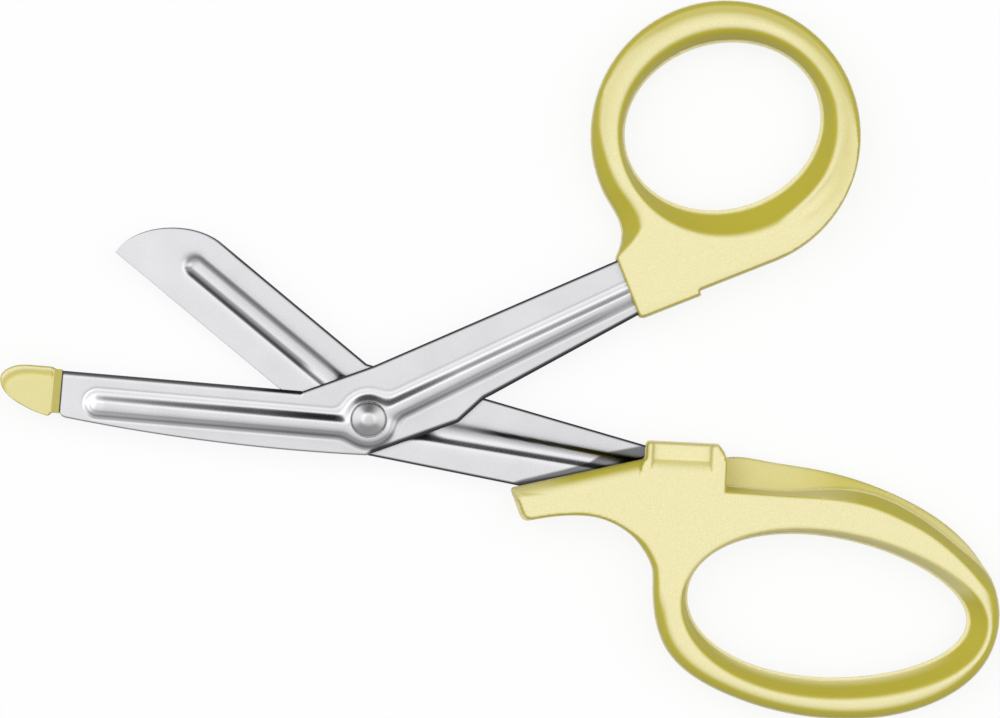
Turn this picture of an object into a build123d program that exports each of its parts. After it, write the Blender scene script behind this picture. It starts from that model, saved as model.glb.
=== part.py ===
from build123d import *
from math import cos, radians, sin
import os

os.makedirs("parts", exist_ok=True)

# Bandage scissors, lying flat and part open. Sizes are in millimetres, angles in degrees.
# The pivot's axis is Z, the ground is Z = 0, and the front of the scissors faces +Z.
# Each arm is drawn in a frame of its own: its origin is the pivot, and its X runs along
# the face where the two handles meet when the scissors are closed.

# The arms
arm_tilt = 21.5           # the thumb arm's X against the row's X
opening = 24.3            # the finger arm, turned back from closed
front_blade_angle = 26.4  # the front cutting edge, below its arm's X
rear_blade_angle = 37.0   # the rear cutting edge, below its arm's X

# Heights
handle_thickness = 9.0
sheet = 1.6               # the blades' steel
blade_gap = 0.04          # between the blades' mating faces
bead_height = 0.95

# The pressed beads
bead_width = 4.8
bead_end_width = 3.7      # on the shanks, at the handles
bead_draw = 0.33          # a groove is this much narrower than its bead, each side
boss_radius = 5.3
bead_blend = 1.8          # where a bead runs into the boss
bead_round_share = 0.85   # the rounding of a bead's top, of its height

# The front blade, along its own cutting edge, with the pivot at the origin
front_reach = 57.3        # to the steel's end, at the guard
front_edge = 4.15         # the cutting edge, above the pivot
front_heel = 12.6         # where the cutting edge stops
front_back = 6.7          # the back, below the pivot
front_back_end = 4.35     # the back, at the steel's end
front_belly = 1.1         # how far the back bows out
front_tip_corner = 1.3
front_bead_reach = 50.3
front_bead_drop = 1.4

# The front shank, in the thumb arm's frame
shank_reach = 53.3        # to the thumb handle's front face
front_throat = 4.6        # where the shank's upper line starts
front_top_near = 8.9
front_top_far = 10.6
front_foot_far = -0.15
front_foot_near = -4.1
front_foot_start = 23.1
front_cheek_start = 15.2  # the cheek behind the pivot, which steps up to the shank
front_cheek_foot = -6.6
front_cheek_end = 21.2
front_cheek_top = -4.3
front_bead_rise = 4.0     # the shank's bead, at the handle

# The rear blade, along its own cutting edge
rear_reach = 56.0
rear_edge = -6.3
rear_heel = 2.2
rear_tip_height = 0.9     # the short blunt stretch at the tip
rear_nose_length = 14.0
rear_back = 7.6
rear_back_end = 6.9
rear_bead_reach = 42.9
rear_bead_rise = 1.2

# The rear shank, in the finger arm's frame
rear_top_far = -2.45
rear_shank_reach = 52.0
rear_foot_far = -12.1
rear_foot_reach = 36.0
rear_bead_end = -6.6

# The tangs inside the handles, and the tongue inside the guard
collar = 1.5              # the full-width stretch that the thumb handle covers
tang_length = 13.5
tang_top = 8.7
tang_foot = 2.2
rear_tang_reach = 64.0
rear_tang_top = -5.2
tongue_length = 7.0
tongue_half = 1.8
tongue_rise = 0.3

# The grinds along the cutting edges
grind_width = 0.85
grind_depth = 1.25

# The rivet
shaft_radius = 2.1
rivet_clearance = 0.05    # between the shaft and the rear blade's bore
head_radius = 3.4
head_height = 1.5
tail_radius = 3.2
tail_flat = 1.9
tail_clearance = 0.05     # between the rear boss and the tail
tail_rim = 0.5

# The thumb handle, in the thumb arm's frame
ring_x = 80.8
ring_radius = 25.05
ring_round = 3.3
thumb_hole_along = 0.1    # the hole's centre, from the ring's
thumb_hole_across = 1.8
thumb_hole_long = 18.4
thumb_hole_short = 15.3
thumb_hole_tilt = -4.8
thumb_flare = (1.0, 2.0, 1.0, 5.4)    # at the faces, to the left, right, top and foot
thumb_stop = -1.25        # the stop block's face
stop_length = 12.5
stop_step = 0.9
stop_corner = 1.4
neck_back = 55.9          # the neck's back, under the ring
neck_shoulder = 14.2
neck_ring_x = 56.6        # where the neck's back meets the ring
neck_ring_y = 19.5
neck_cover = 0.35         # over the steel's upper corner
neck_edge = 0.8           # the bevel round the neck
neck_back_edge = 2.8      # the wide bevel along the neck's back

# The finger handle, in the finger arm's frame
stop_gap = 0.1            # between the stop faces when closed
finger_stop_start = 51.4
finger_stop_depth = 3.4   # the stop block's front face
finger_stop_corner = 1.0
slant_edge = 1.4          # the bevel along the slanted edge that the shank passes
nose_x = 26.7
nose_y = -11.4
nose_length = 6.2
nose_lean = 2.6
nose_corner = 1.5
under_rise = -15.9        # the hollow under the nose
under_x = 40.5
under_end_x = 50.2
under_end_y = -19.6
under_slope_share = 0.25
stop_slope = 1.6
throat_x = 53.9           # where the hollow meets the loop
throat_y = -27.0
loop_left = 54.0
loop_right = 118.5
loop_top = -3.4
loop_foot = -51.2
loop_round = 3.2
finger_hole_x = 86.5
finger_hole_y = -30.7
finger_hole_long = 26.0
finger_hole_short = 13.0
finger_hole_tilt = -3.7
finger_hole_egg = 0.12    # how much wider the hole is towards the neck
finger_flare = (0.9, 3.4, 0.9, 3.6)
shelf_start = 66.6
shelf_depth = 4.6         # down from the front face
ledge_depth = 1.1         # the recess in the stop block
ledge_width = 4.6
ledge_rim = 1.5
ledge_slope = 1.3         # how far the recess's lower wall leans out

# The tip guard, along the front cutting edge
guard_length = 11.25
guard_top = 4.7
guard_foot = -4.4
guard_thickness = 4.6
guard_neck = 1.3
guard_nose = 1.9          # the height of its foremost point
guard_edge = 0.7

# The guard's curves, in shares of its length and of its top's or foot's height
guard_brow_shares = [(0.10, 0.77), (0.52, 1.0)]
guard_belly_shares = [(0.35, 0.59), (0.06, 0.03)]
guard_foot_slope_share = 0.18

# The finger loop's outer outline, and the foot and the top of the wall behind its shelf, in
# shares of the loop's box
loop_shares = [
    (0.20, 0.996), (0.31, 0.989), (0.453, 0.967), (0.713, 0.868), (0.918, 0.680), (1.0, 0.444),
    (0.966, 0.244), (0.80, 0.065), (0.476, 0.002), (0.226, 0.075), (0.048, 0.237), (0.0, 0.485),
    (0.04, 0.78),
]
shelf_foot_shares = [
    (0.195, 0.882), (0.375, 0.874), (0.50, 0.893), (0.626, 0.880), (0.717, 0.832), (0.797, 0.767),
    (0.879, 0.687), (0.949, 0.614), (1.02, 0.515),
]
shelf_top_shares = [
    (0.195, 0.860), (0.376, 0.856), (0.50, 0.852), (0.616, 0.828), (0.700, 0.788), (0.772, 0.743),
    (0.853, 0.668), (0.913, 0.595), (0.985, 0.495),
]

overrun = 1.0             # how far a cutting solid passes the face that it cuts

# Heights that follow
joint_height = handle_thickness / 2
front_low = joint_height + blade_gap / 2
front_high = front_low + sheet
rear_high = joint_height - blade_gap / 2
rear_low = rear_high - sheet

thumb_arm = Plane.XY.rotated((0, 0, arm_tilt))
finger_arm = Plane.XY.rotated((0, 0, arm_tilt - opening))
front_frame = Plane.XY.rotated((0, 0, arm_tilt - front_blade_angle))
rear_frame = Plane.XY.rotated((0, 0, arm_tilt - opening - rear_blade_angle))


def swung(x, y, angle):
    """A blade's point, given along its own cutting edge, in its arm's frame."""
    turned = Vector(x, y).rotate(Axis.Z, -angle)
    return (turned.X, turned.Y)


def oval(centre, long, short, tilt, egg, steps=16):
    """Points of an oval that is wider at its left end by the share egg."""
    points = []
    for step in range(steps):
        turn = radians(360 * step / steps)
        along = long * cos(turn)
        across = short * sin(turn) * (1 - egg * cos(turn))
        point = Vector(along, across).rotate(Axis.Z, tilt)
        points.append((centre[0] + point.X, centre[1] + point.Y))
    return points


def bead_sketch(plane, blade_end, blade_angle, shank_end, inset=0.0):
    """A bead's outline: a bar along the blade, a bar along the shank, and a round boss.

    The four corners where the bars leave the boss are rounded.
    """
    blade_far = swung(-blade_end[0], blade_end[1], blade_angle)
    blade_near = swung(0, blade_end[1], blade_angle)
    with BuildSketch() as blade_bar:
        with Locations(blade_far, blade_near):
            Circle(bead_width / 2 - inset)
        make_hull()
    with BuildSketch() as shank_bar:
        Circle(bead_width / 2 - inset)
        with Locations(shank_end):
            Circle(bead_end_width / 2 - inset)
        make_hull()
    with BuildSketch(plane) as outline:
        Circle(boss_radius - inset)
        add(blade_bar.sketch)
        add(shank_bar.sketch)
        boss_corners = outline.vertices().sort_by_distance((0, 0))[:4]
        fillet(boss_corners, radius=bead_blend)
    return outline.sketch


def pressed(outline, amount):
    """A bead, or the cutter for its groove: the outline pushed out, with a rounded top."""
    with BuildPart() as form:
        extrude(outline, amount=amount)
        ends = form.faces().filter_by(Axis.Z).sort_by(Axis.Z)
        far_end = ends[-1] if amount > 0 else ends[0]
        fillet(far_end.edges(), radius=bead_round_share * bead_height)
    return form.part


def grind(frame, corner, outward, length):
    """The cutter for the bevel along a cutting edge, on the blade's outer face."""
    across = frame.y_dir * outward
    with BuildPart() as cutter:
        with BuildSketch(Plane(frame.from_local_coords(corner), x_dir=across, z_dir=frame.x_dir)):
            with BuildLine():
                Polyline(
                    (-grind_width, 0),
                    (0, -grind_depth),
                    (overrun, -grind_depth),
                    (overrun, overrun),
                    (-grind_width, overrun),
                    close=True,
                )
            make_face()
        extrude(amount=length)
    return cutter.part


def rims(handle, plane, wanted):
    """The edges round a handle's two faces whose middle, in the arm's frame, is wanted."""
    edges = handle.faces().filter_by(Axis.Z).edges()
    return edges.filter_by(lambda edge: wanted(plane.to_local_coords(edge.center())))


def hole_form(plane, centre, long, short, tilt, egg, flare):
    """The cutter for a finger hole: narrowest halfway up, and flared to both faces.

    flare is how much wider the hole is at the faces, to its left, right, top and foot.
    """
    left, right, top, foot = flare
    wide_centre = (centre[0] + (right - left) / 2, centre[1] + (top - foot) / 2)
    wide = oval(wide_centre, long + (left + right) / 2, short + (top + foot) / 2, tilt, egg)
    narrow = oval(centre, long, short, tilt, egg)
    with BuildPart() as cutter:
        for height, points in ((0, wide), (handle_thickness / 2, narrow), (handle_thickness, wide)):
            with BuildSketch(plane.offset(height)):
                with BuildLine():
                    Spline(*points, periodic=True)
                make_face()
        loft()
    return cutter.part


# The front blade's steel
front_tip_top = swung(-front_reach, front_edge, front_blade_angle)
front_tip_foot = swung(-front_reach, -front_back_end, front_blade_angle)
front_heel_point = swung(-front_heel, front_edge, front_blade_angle)
front_back_near = swung(0, -front_back, front_blade_angle)
front_belly_drop = (front_back + front_back_end) / 2 + front_belly
front_belly_point = swung(-front_reach / 2, -front_belly_drop, front_blade_angle)
tongue_foot = tongue_rise - tongue_half
tongue_top = tongue_rise + tongue_half
tongue_end = front_reach + tongue_length
tang_start = shank_reach + collar
tang_end = tang_start + tang_length
front_bead = (front_bead_reach, -front_bead_drop)
front_bead_end = (tang_start, front_bead_rise)

with BuildPart() as front_blade:
    with BuildSketch(thumb_arm.offset(front_low)) as front_outline:
        with BuildLine():
            ThreePointArc(front_back_near, front_belly_point, front_tip_foot)
            Polyline(
                front_tip_foot,
                swung(-front_reach, tongue_foot, front_blade_angle),
                swung(-tongue_end, tongue_foot, front_blade_angle),
                swung(-tongue_end, tongue_top, front_blade_angle),
                swung(-front_reach, tongue_top, front_blade_angle),
                front_tip_top,
                front_heel_point,
                (front_throat, front_top_near),
                (tang_start, front_top_far),
                (tang_start, tang_top),
                (tang_end, tang_top),
                (tang_end, tang_foot),
                (tang_start, tang_foot),
                (tang_start, front_foot_far),
                (front_foot_start, front_foot_near),
                (front_cheek_end, front_cheek_top),
                (front_cheek_start, front_cheek_foot),
                front_back_near,
            )
        make_face()
        fillet(front_outline.vertices().sort_by_distance(front_tip_foot)[0], radius=front_tip_corner)
    extrude(amount=sheet)
    add(pressed(bead_sketch(thumb_arm.offset(front_high), front_bead, front_blade_angle, front_bead_end),
                bead_height))
    add(pressed(bead_sketch(thumb_arm.offset(front_low - overrun), front_bead, front_blade_angle,
                            front_bead_end, bead_draw), overrun + bead_height), mode=Mode.SUBTRACT)
    add(grind(front_frame, (-front_reach - overrun, front_edge, front_high), 1,
              front_reach - front_heel + overrun), mode=Mode.SUBTRACT)
    with Locations((0, 0, front_high + bead_height)):
        Hole(radius=shaft_radius)

# The rear blade's steel
rear_tip_foot = swung(-rear_reach, rear_edge, rear_blade_angle)
rear_tip_top = swung(-rear_reach, rear_edge + rear_tip_height, rear_blade_angle)
rear_nose_end = swung(rear_nose_length - rear_reach, rear_back, rear_blade_angle)
rear_back_near = swung(-rear_back_end, rear_back, rear_blade_angle)
rear_heel_point = swung(rear_heel, rear_edge, rear_blade_angle)
rear_bead = (rear_bead_reach, rear_bead_rise)
rear_bead_far = (rear_shank_reach, rear_bead_end)
nose_tip_way = swung(0, 1, rear_blade_angle)
nose_back_way = swung(1, 0, rear_blade_angle)

with BuildPart() as rear_blade:
    with BuildSketch(finger_arm.offset(rear_high)):
        with BuildLine():
            Spline(rear_tip_top, rear_nose_end, tangents=(nose_tip_way, nose_back_way))
            Polyline(
                rear_nose_end,
                rear_back_near,
                (rear_shank_reach, rear_top_far),
                (rear_shank_reach, rear_tang_top),
                (rear_tang_reach, rear_tang_top),
                (rear_tang_reach, rear_foot_far),
                (rear_foot_reach, rear_foot_far),
                rear_heel_point,
                rear_tip_foot,
                rear_tip_top,
            )
        make_face()
    extrude(amount=-sheet)
    add(pressed(bead_sketch(finger_arm.offset(rear_low), rear_bead, rear_blade_angle, rear_bead_far),
                -bead_height))
    add(pressed(bead_sketch(finger_arm.offset(rear_high + overrun), rear_bead, rear_blade_angle,
                            rear_bead_far, bead_draw), -overrun - bead_height), mode=Mode.SUBTRACT)
    add(grind(rear_frame, (-rear_reach - overrun, rear_edge, rear_low), -1,
              rear_reach + rear_heel + overrun), mode=Mode.SUBTRACT)
    with Locations((0, 0, rear_high)):
        Hole(radius=shaft_radius + rivet_clearance)

# The rivet: a domed head on the front boss, and a tail with a flat end on the ground
head_seat = front_high + bead_height
tail_seat = rear_low - bead_height - tail_clearance
with BuildPart() as pivot_rivet:
    with BuildSketch(Plane.XZ):
        with BuildLine():
            Polyline(
                (0, head_seat + head_height),
                (0, 0),
                (tail_flat, 0),
                (tail_radius, tail_seat - tail_rim),
                (tail_radius, tail_seat),
                (shaft_radius, tail_seat),
                (shaft_radius, head_seat),
                (head_radius, head_seat),
            )
            TangentArc((0, head_seat + head_height), (head_radius, head_seat), tangent=(1, 0))
        make_face()
    revolve(axis=Axis.Z)

# The tip guard, moulded over the front blade's tongue
guard_far = -front_reach - guard_length
guard_near = -front_reach - guard_neck
guard_low = front_low + sheet / 2 - guard_thickness / 2
with BuildPart() as tip_guard:
    with BuildSketch(front_frame.offset(guard_low)):
        with BuildLine():
            Spline(
                (guard_near, guard_foot),
                *[(guard_far + along * guard_length, drop * guard_foot) for along, drop in guard_belly_shares],
                (guard_far, guard_nose),
                tangents=((-1, guard_foot_slope_share), (0, 1)),
            )
            brow = Spline(
                (guard_far, guard_nose),
                *[(guard_far + along * guard_length, rise * guard_top) for along, rise in guard_brow_shares],
                tangents=((0, 1), (1, 0)),
            )
            Polyline(brow @ 1, (guard_near, guard_top), (guard_near, guard_foot))
        make_face()
    extrude(amount=guard_thickness)
    chamfer(tip_guard.faces().filter_by(Axis.Z).edges(), length=guard_edge)
    with BuildSketch(front_frame.offset(guard_low + guard_edge)):
        with Locations(((guard_near - front_reach) / 2, (guard_top + guard_foot) / 2)):
            Rectangle(guard_neck, guard_top - guard_foot - 2 * guard_edge)
    extrude(amount=guard_thickness - 2 * guard_edge)
    add(front_blade.part, mode=Mode.SUBTRACT)

# The thumb handle: a ring with a flat neck, which ends in a stop block
step_foot = thumb_stop + stop_step
stop_end = shank_reach + stop_length
neck_top = front_top_far + neck_cover
ring_y = step_foot + ring_radius
thumb_hole = (ring_x + thumb_hole_along, ring_y + thumb_hole_across)
with BuildPart() as thumb_neck:
    with BuildSketch(thumb_arm) as neck_outline:
        with BuildLine():
            Polyline(
                (shank_reach, thumb_stop),
                (stop_end, thumb_stop),
                (stop_end, step_foot),
                (ring_x, step_foot),
                thumb_hole,
                (neck_ring_x, neck_ring_y),
                (neck_back, neck_shoulder),
                (shank_reach, neck_top),
                close=True,
            )
        make_face()
        fillet(neck_outline.vertices().sort_by_distance((shank_reach, thumb_stop))[0], radius=stop_corner)
    extrude(amount=handle_thickness)
    chamfer(rims(thumb_neck, thumb_arm, lambda middle: middle.Y < neck_top), length=neck_edge)
    chamfer(rims(thumb_neck, thumb_arm, lambda middle: middle.Y > neck_top and middle.X < neck_ring_x),
            length=neck_back_edge)

with BuildPart() as thumb_handle:
    with BuildSketch(thumb_arm):
        with Locations((ring_x, ring_y)):
            Circle(ring_radius)
    extrude(amount=handle_thickness)
    fillet(thumb_handle.faces().filter_by(Axis.Z).edges(), radius=ring_round)
    add(thumb_neck.part)
    add(hole_form(thumb_arm, thumb_hole, thumb_hole_long, thumb_hole_short, thumb_hole_tilt, 0,
                  thumb_flare), mode=Mode.SUBTRACT)
    add(front_blade.part, mode=Mode.SUBTRACT)

# The finger handle: a long loop with a nose, a stop block and a shelf behind it
finger_stop = thumb_stop - stop_gap
slant_top = finger_stop - finger_stop_depth
loop_length = loop_right - loop_left
loop_height = loop_top - loop_foot


def in_loop(share_x, share_y):
    """A point at the given shares of the loop's length and height."""
    return (loop_left + share_x * loop_length, loop_foot + share_y * loop_height)


with BuildPart() as finger_neck:
    with BuildSketch(finger_arm) as finger_outline:
        with BuildLine():
            Spline(
                (nose_x + nose_lean, nose_y - nose_length),
                (under_x, under_rise),
                (under_end_x, under_end_y),
                (throat_x, throat_y),
                tangents=((1, under_slope_share), (0, -1)),
            )
            Polyline(
                (throat_x, throat_y),
                (shelf_start, throat_y),
                (shelf_start, loop_top),
                (shelf_start - stop_slope, finger_stop),
                (finger_stop_start, finger_stop),
                (finger_stop_start, slant_top),
                (nose_x, nose_y),
                (nose_x + nose_lean, nose_y - nose_length),
            )
        make_face()
        nose_foot = finger_outline.vertices().sort_by_distance((nose_x + nose_lean, nose_y - nose_length))
        fillet(nose_foot[0], radius=nose_corner)
        stop_top = finger_outline.vertices().sort_by_distance((finger_stop_start, finger_stop))
        fillet(stop_top[0], radius=finger_stop_corner)
    extrude(amount=handle_thickness)
    chamfer(rims(finger_neck, finger_arm, lambda middle: nose_y < middle.Y < slant_top), length=slant_edge)
    chamfer(rims(finger_neck, finger_arm, lambda middle: middle.X < shelf_start
                 and (throat_y < middle.Y < nose_y or middle.Y > slant_top)), length=neck_edge)

ledge_start = finger_stop_start + ledge_rim
ledge_end = shelf_start - stop_slope - ledge_rim
ledge_corner = finger_arm.from_local_coords((ledge_start, finger_stop - ledge_width, handle_thickness))
with BuildPart() as ledge:
    with BuildSketch(Plane(ledge_corner, x_dir=finger_arm.y_dir, z_dir=finger_arm.x_dir)):
        with BuildLine():
            Polyline(
                (-ledge_slope, 0),
                (0, -ledge_depth),
                (ledge_width + overrun, -ledge_depth),
                (ledge_width + overrun, overrun),
                (-ledge_slope, overrun),
                close=True,
            )
        make_face()
    extrude(amount=ledge_end - ledge_start)

with BuildPart() as shelf:
    for height, wall_shares in (
        (handle_thickness - shelf_depth, shelf_foot_shares),
        (handle_thickness, shelf_top_shares),
    ):
        with BuildSketch(finger_arm.offset(height)):
            with BuildLine():
                wall = Spline(*[in_loop(*shares) for shares in wall_shares])
                Polyline(wall @ 1, (loop_right + overrun, loop_top + overrun),
                         (shelf_start, loop_top + overrun), wall @ 0)
            make_face()
    loft(ruled=True)

with BuildPart() as finger_handle:
    with BuildSketch(finger_arm):
        with BuildLine():
            Spline(*[in_loop(*shares) for shares in loop_shares], periodic=True)
        make_face()
    extrude(amount=handle_thickness)
    fillet(finger_handle.faces().filter_by(Axis.Z).edges(), radius=loop_round)
    add(finger_neck.part)
    add(hole_form(finger_arm, (finger_hole_x, finger_hole_y), finger_hole_long, finger_hole_short,
                  finger_hole_tilt, finger_hole_egg, finger_flare), mode=Mode.SUBTRACT)
    add(shelf.part, mode=Mode.SUBTRACT)
    add(ledge.part, mode=Mode.SUBTRACT)
    add(rear_blade.part, mode=Mode.SUBTRACT)

front_blade.part.label = "front_blade"
rear_blade.part.label = "rear_blade"
pivot_rivet.part.label = "pivot_rivet"
tip_guard.part.label = "tip_guard"
thumb_handle.part.label = "thumb_handle"
finger_handle.part.label = "finger_handle"

export_step(front_blade.part, "parts/front_blade.step")
export_step(rear_blade.part, "parts/rear_blade.step")
export_step(pivot_rivet.part, "parts/pivot_rivet.step")
export_step(tip_guard.part, "parts/tip_guard.step")
export_step(thumb_handle.part, "parts/thumb_handle.step")
export_step(finger_handle.part, "parts/finger_handle.step")
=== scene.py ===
"""Bandage scissors: the finished surfaces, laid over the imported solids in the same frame."""

from math import cos, pi, radians, sin

import bpy
import numpy as np
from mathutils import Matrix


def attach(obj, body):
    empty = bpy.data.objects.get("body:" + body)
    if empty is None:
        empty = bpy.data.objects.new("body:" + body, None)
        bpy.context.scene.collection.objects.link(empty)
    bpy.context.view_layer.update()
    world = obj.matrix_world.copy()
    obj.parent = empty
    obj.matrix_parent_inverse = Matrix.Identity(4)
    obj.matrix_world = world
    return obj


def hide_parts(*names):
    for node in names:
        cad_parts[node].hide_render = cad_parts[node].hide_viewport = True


bl_info = {
    "name": "Bandage scissors",
    "version": (1, 0, 0),
    "blender": (4, 5, 0),
    "location": "3D View > Sidebar > Scissors",
    "description": "Builds the blades, the rivet and the moulded handles of a pair of bandage scissors",
    "category": "Add Mesh",
}

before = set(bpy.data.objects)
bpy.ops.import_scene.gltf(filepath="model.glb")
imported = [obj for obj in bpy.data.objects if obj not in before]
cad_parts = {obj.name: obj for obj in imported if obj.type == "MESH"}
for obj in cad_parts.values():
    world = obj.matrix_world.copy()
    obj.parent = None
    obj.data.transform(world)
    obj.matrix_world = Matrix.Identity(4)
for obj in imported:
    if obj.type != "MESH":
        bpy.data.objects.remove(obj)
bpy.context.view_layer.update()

MM = 0.001

# The arms, and each blade's cutting edge below its arm's X
thumb_tilt = radians(21.5)
finger_tilt = radians(21.5 - 24.3)
front_angle = radians(26.4)
rear_angle = radians(37.0)

# Heights
handle_thickness = 9.0 * MM
joint_height = handle_thickness / 2
blade_gap = 0.04 * MM

# The front blade, along its cutting edge
front_reach = 57.3 * MM
front_edge = 4.15 * MM
front_heel = 12.6 * MM
front_back = 6.7 * MM
front_back_end = 4.35 * MM
front_belly = 1.1 * MM
front_tip_corner = 1.3 * MM
front_bead_reach = 50.3 * MM
front_bead_drop = 1.4 * MM

# The front shank, in the thumb arm's frame
front_throat = (4.6 * MM, 8.9 * MM)
front_top_far = 10.6 * MM
front_foot_far = -0.15 * MM
front_foot_start = (23.1 * MM, -4.1 * MM)
front_cheek_start = (15.2 * MM, -6.6 * MM)
front_cheek_end = (21.2 * MM, -4.3 * MM)
front_bead_rise = 4.0 * MM
shank_reach = 53.3 * MM
collar = 1.5 * MM

# The rear blade and shank
rear_reach = 56.0 * MM
rear_edge = -6.3 * MM
rear_heel = 2.2 * MM
rear_tip_height = 0.9 * MM
rear_nose_length = 14.0 * MM
rear_nose_pull = 19 * MM
rear_nose_points = 40
rear_back = 7.6 * MM
rear_back_end = 6.9 * MM
rear_bead_reach = 42.9 * MM
rear_bead_rise = 1.2 * MM
rear_top_far = -2.45 * MM
rear_shank_reach = 52.0 * MM
rear_foot_far = -12.1 * MM
rear_foot_reach = 36.0 * MM
rear_bead_end = -6.6 * MM

# The tangs and the tongue
tang_length = 13.5 * MM
tang_top = 8.7 * MM
tang_foot = 2.2 * MM
rear_tang_reach = 64.0 * MM
rear_tang_top = -5.2 * MM
tongue_length = 7.0 * MM
tongue_half = 1.8 * MM
tongue_rise = 0.3 * MM
tang_room = 0.05 * MM
slot_lead = 1.0 * MM
cut_past = 5 * MM

# The pressed beads
bead_end_width = 3.7 * MM
bead_draw = 0.33 * MM
boss_radius = 5.3 * MM
bead_blend = 1.6 * MM
bead_foot_share = 0.16
bead_flank_shares = (0.12, 0.95)
bead_middle_soft = 0.3 * MM
bead_weight_share = 0.4
bead_side_range = (-0.7, 0.7)

# The rivet
shaft_radius = 2.1 * MM
rivet_clearance = 0.05 * MM
head_radius = 3.4 * MM
head_height = 1.5 * MM
tail_radius = 3.2 * MM
tail_flat = 1.9 * MM
tail_clearance = 0.05 * MM
tail_rim = 0.5 * MM
dome_middle_slope = 0.06
dome_shoulder = (0.4 * MM, 1.7 * MM)
dome_rim_slope = 2.2
dome_rim_start = 2.9 * MM

# The thumb handle, in the thumb arm's frame
ring_x = 80.8 * MM
ring_radius = 25.05 * MM
thumb_stop = -1.25 * MM
stop_length = 12.5 * MM
stop_step = 0.9 * MM
thumb_hole_along = 0.1 * MM
thumb_hole_across = 1.8 * MM
neck_back = (55.7 * MM, 13.9 * MM)
neck_ring = (56.4 * MM, 18.9 * MM)
neck_cover = 0.35 * MM
neck_taper = (10.6 * MM, 15.5 * MM)
neck_bevel_width = 0.4 * MM
neck_bevel_depth = 0.25 * MM
handle_rim = 0.3 * MM
shoulder_blend = 0.9 * MM

# Its outline: the ring's arc in degrees, the directions in which the neck's back leaves it and ends, and
# the radii of the neck's corners in millimetres
arc_ends = (-90, 184)
arc_points = 138
back_start = (0.07, -1)
back_end = (-0.7, -0.72)
neck_radii = (0, 0.4, 1.4, 0.3, 0.2, 0)
corner_samples = 7

# Its hole's rounding in millimetres: at the foot, what the top adds, and the sines between which it grows
thumb_hole_round = 0.8
thumb_hole_round_top = 1.6
thumb_hole_round_range = (-0.6, 0.5)

# The finger handle, in the finger arm's frame
finger_stop = -1.35 * MM
finger_stop_start = 51.4 * MM
finger_stop_depth = 3.4 * MM
nose_top = (26.7 * MM, -11.4 * MM)
nose_foot = (29.3 * MM, -17.6 * MM)
under_high = (40.5 * MM, -15.9 * MM)
under_end = (50.2 * MM, -19.6 * MM)
throat = (54.1 * MM, -27.0 * MM)
loop_left = 54.0 * MM
loop_right = 118.5 * MM
loop_top = -3.4 * MM
loop_foot = -51.2 * MM
shelf_start = 66.6 * MM
shelf_depth = 4.6 * MM
stop_slope = 1.6 * MM
ledge_depth = 1.1 * MM
ledge_width = 3.4 * MM
ledge_rim = 1.5 * MM
ledge_slope = 1.6 * MM
slant_edge = 2.0 * MM
slant_start = 1.0 * MM
slant_drop = 14 * MM
slant_fade = 2 * MM
nose_land = 0.5 * MM
nose_land_reach = 4.5 * MM
nose_land_fade = 1.5 * MM
shelf_lean = 0.33
shelf_lean_share = 0.45
shelf_lean_places = (78 * MM, 96 * MM)
loop_blend = 0.4 * MM
finger_rim = 0.5 * MM
loop_rim = 2.6 * MM
loop_rim_range = (-1.0 * MM, 8.0 * MM)
finger_edge = 0.4 * MM
hollow_edge = 0.7 * MM
hollow_side = (60 * MM, 56 * MM)
hollow_top = (-17 * MM, -21 * MM)
hollow_foot = (-35 * MM, -30 * MM)
finger_hole_round = 1.0 * MM
shelf_fillet = 0.4 * MM
shelf_brim = 0.7 * MM
ledge_round = 0.8 * MM

# The blend of its edge in millimetres, and what the slant adds
finger_edge_blend = 0.4
slant_edge_blend = 0.7

# Its outline: the slopes of the curve from the nose under the neck to the throat, and the radii of its
# corners in millimetres
nose_foot_slope = (12 * MM, 3 * MM)
under_high_slopes = ((12 * MM, 0), (11 * MM, 0))
under_end_slopes = ((8 * MM, -7 * MM), (5 * MM, -5 * MM))
throat_slope = (0, -8 * MM)
finger_radii = (0.01, 0.5, 0.5, 0.4, 1.0, 0.6, 0.8, 1.5, 0.01)

# The tip guard, along the front cutting edge
guard_length = 11.25 * MM
guard_top = 4.7 * MM
guard_foot = -4.4 * MM
guard_thickness = 4.6 * MM
guard_neck = 1.3 * MM
guard_nose = 1.9 * MM
guard_round = 0.6 * MM
guard_valley = 0.55 * MM
guard_collar_top = 4.35 * MM
guard_collar_foot = -3.75 * MM
guard_corner = 0.7 * MM
lip_width = 1.35 * MM
lip_lean = 0.6
valley_half = 0.6 * MM
face_drop = 0.45
face_fade = 1.0 * MM
collar_cover = 0.4 * MM
collar_drop = 0.2 * MM
collar_rim = 0.3 * MM
collar_chamfer = 0.25 * MM
collar_slope = 0.85
collar_slope_length = 1.31

# The guard's curves, in shares of its length and of its top's or foot's height
guard_brow_shares = [(0.10, 0.77), (0.52, 1.0)]
guard_belly_shares = [(0.35, 0.59), (0.06, 0.03)]
guard_foot_slope_share = 0.18

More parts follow.
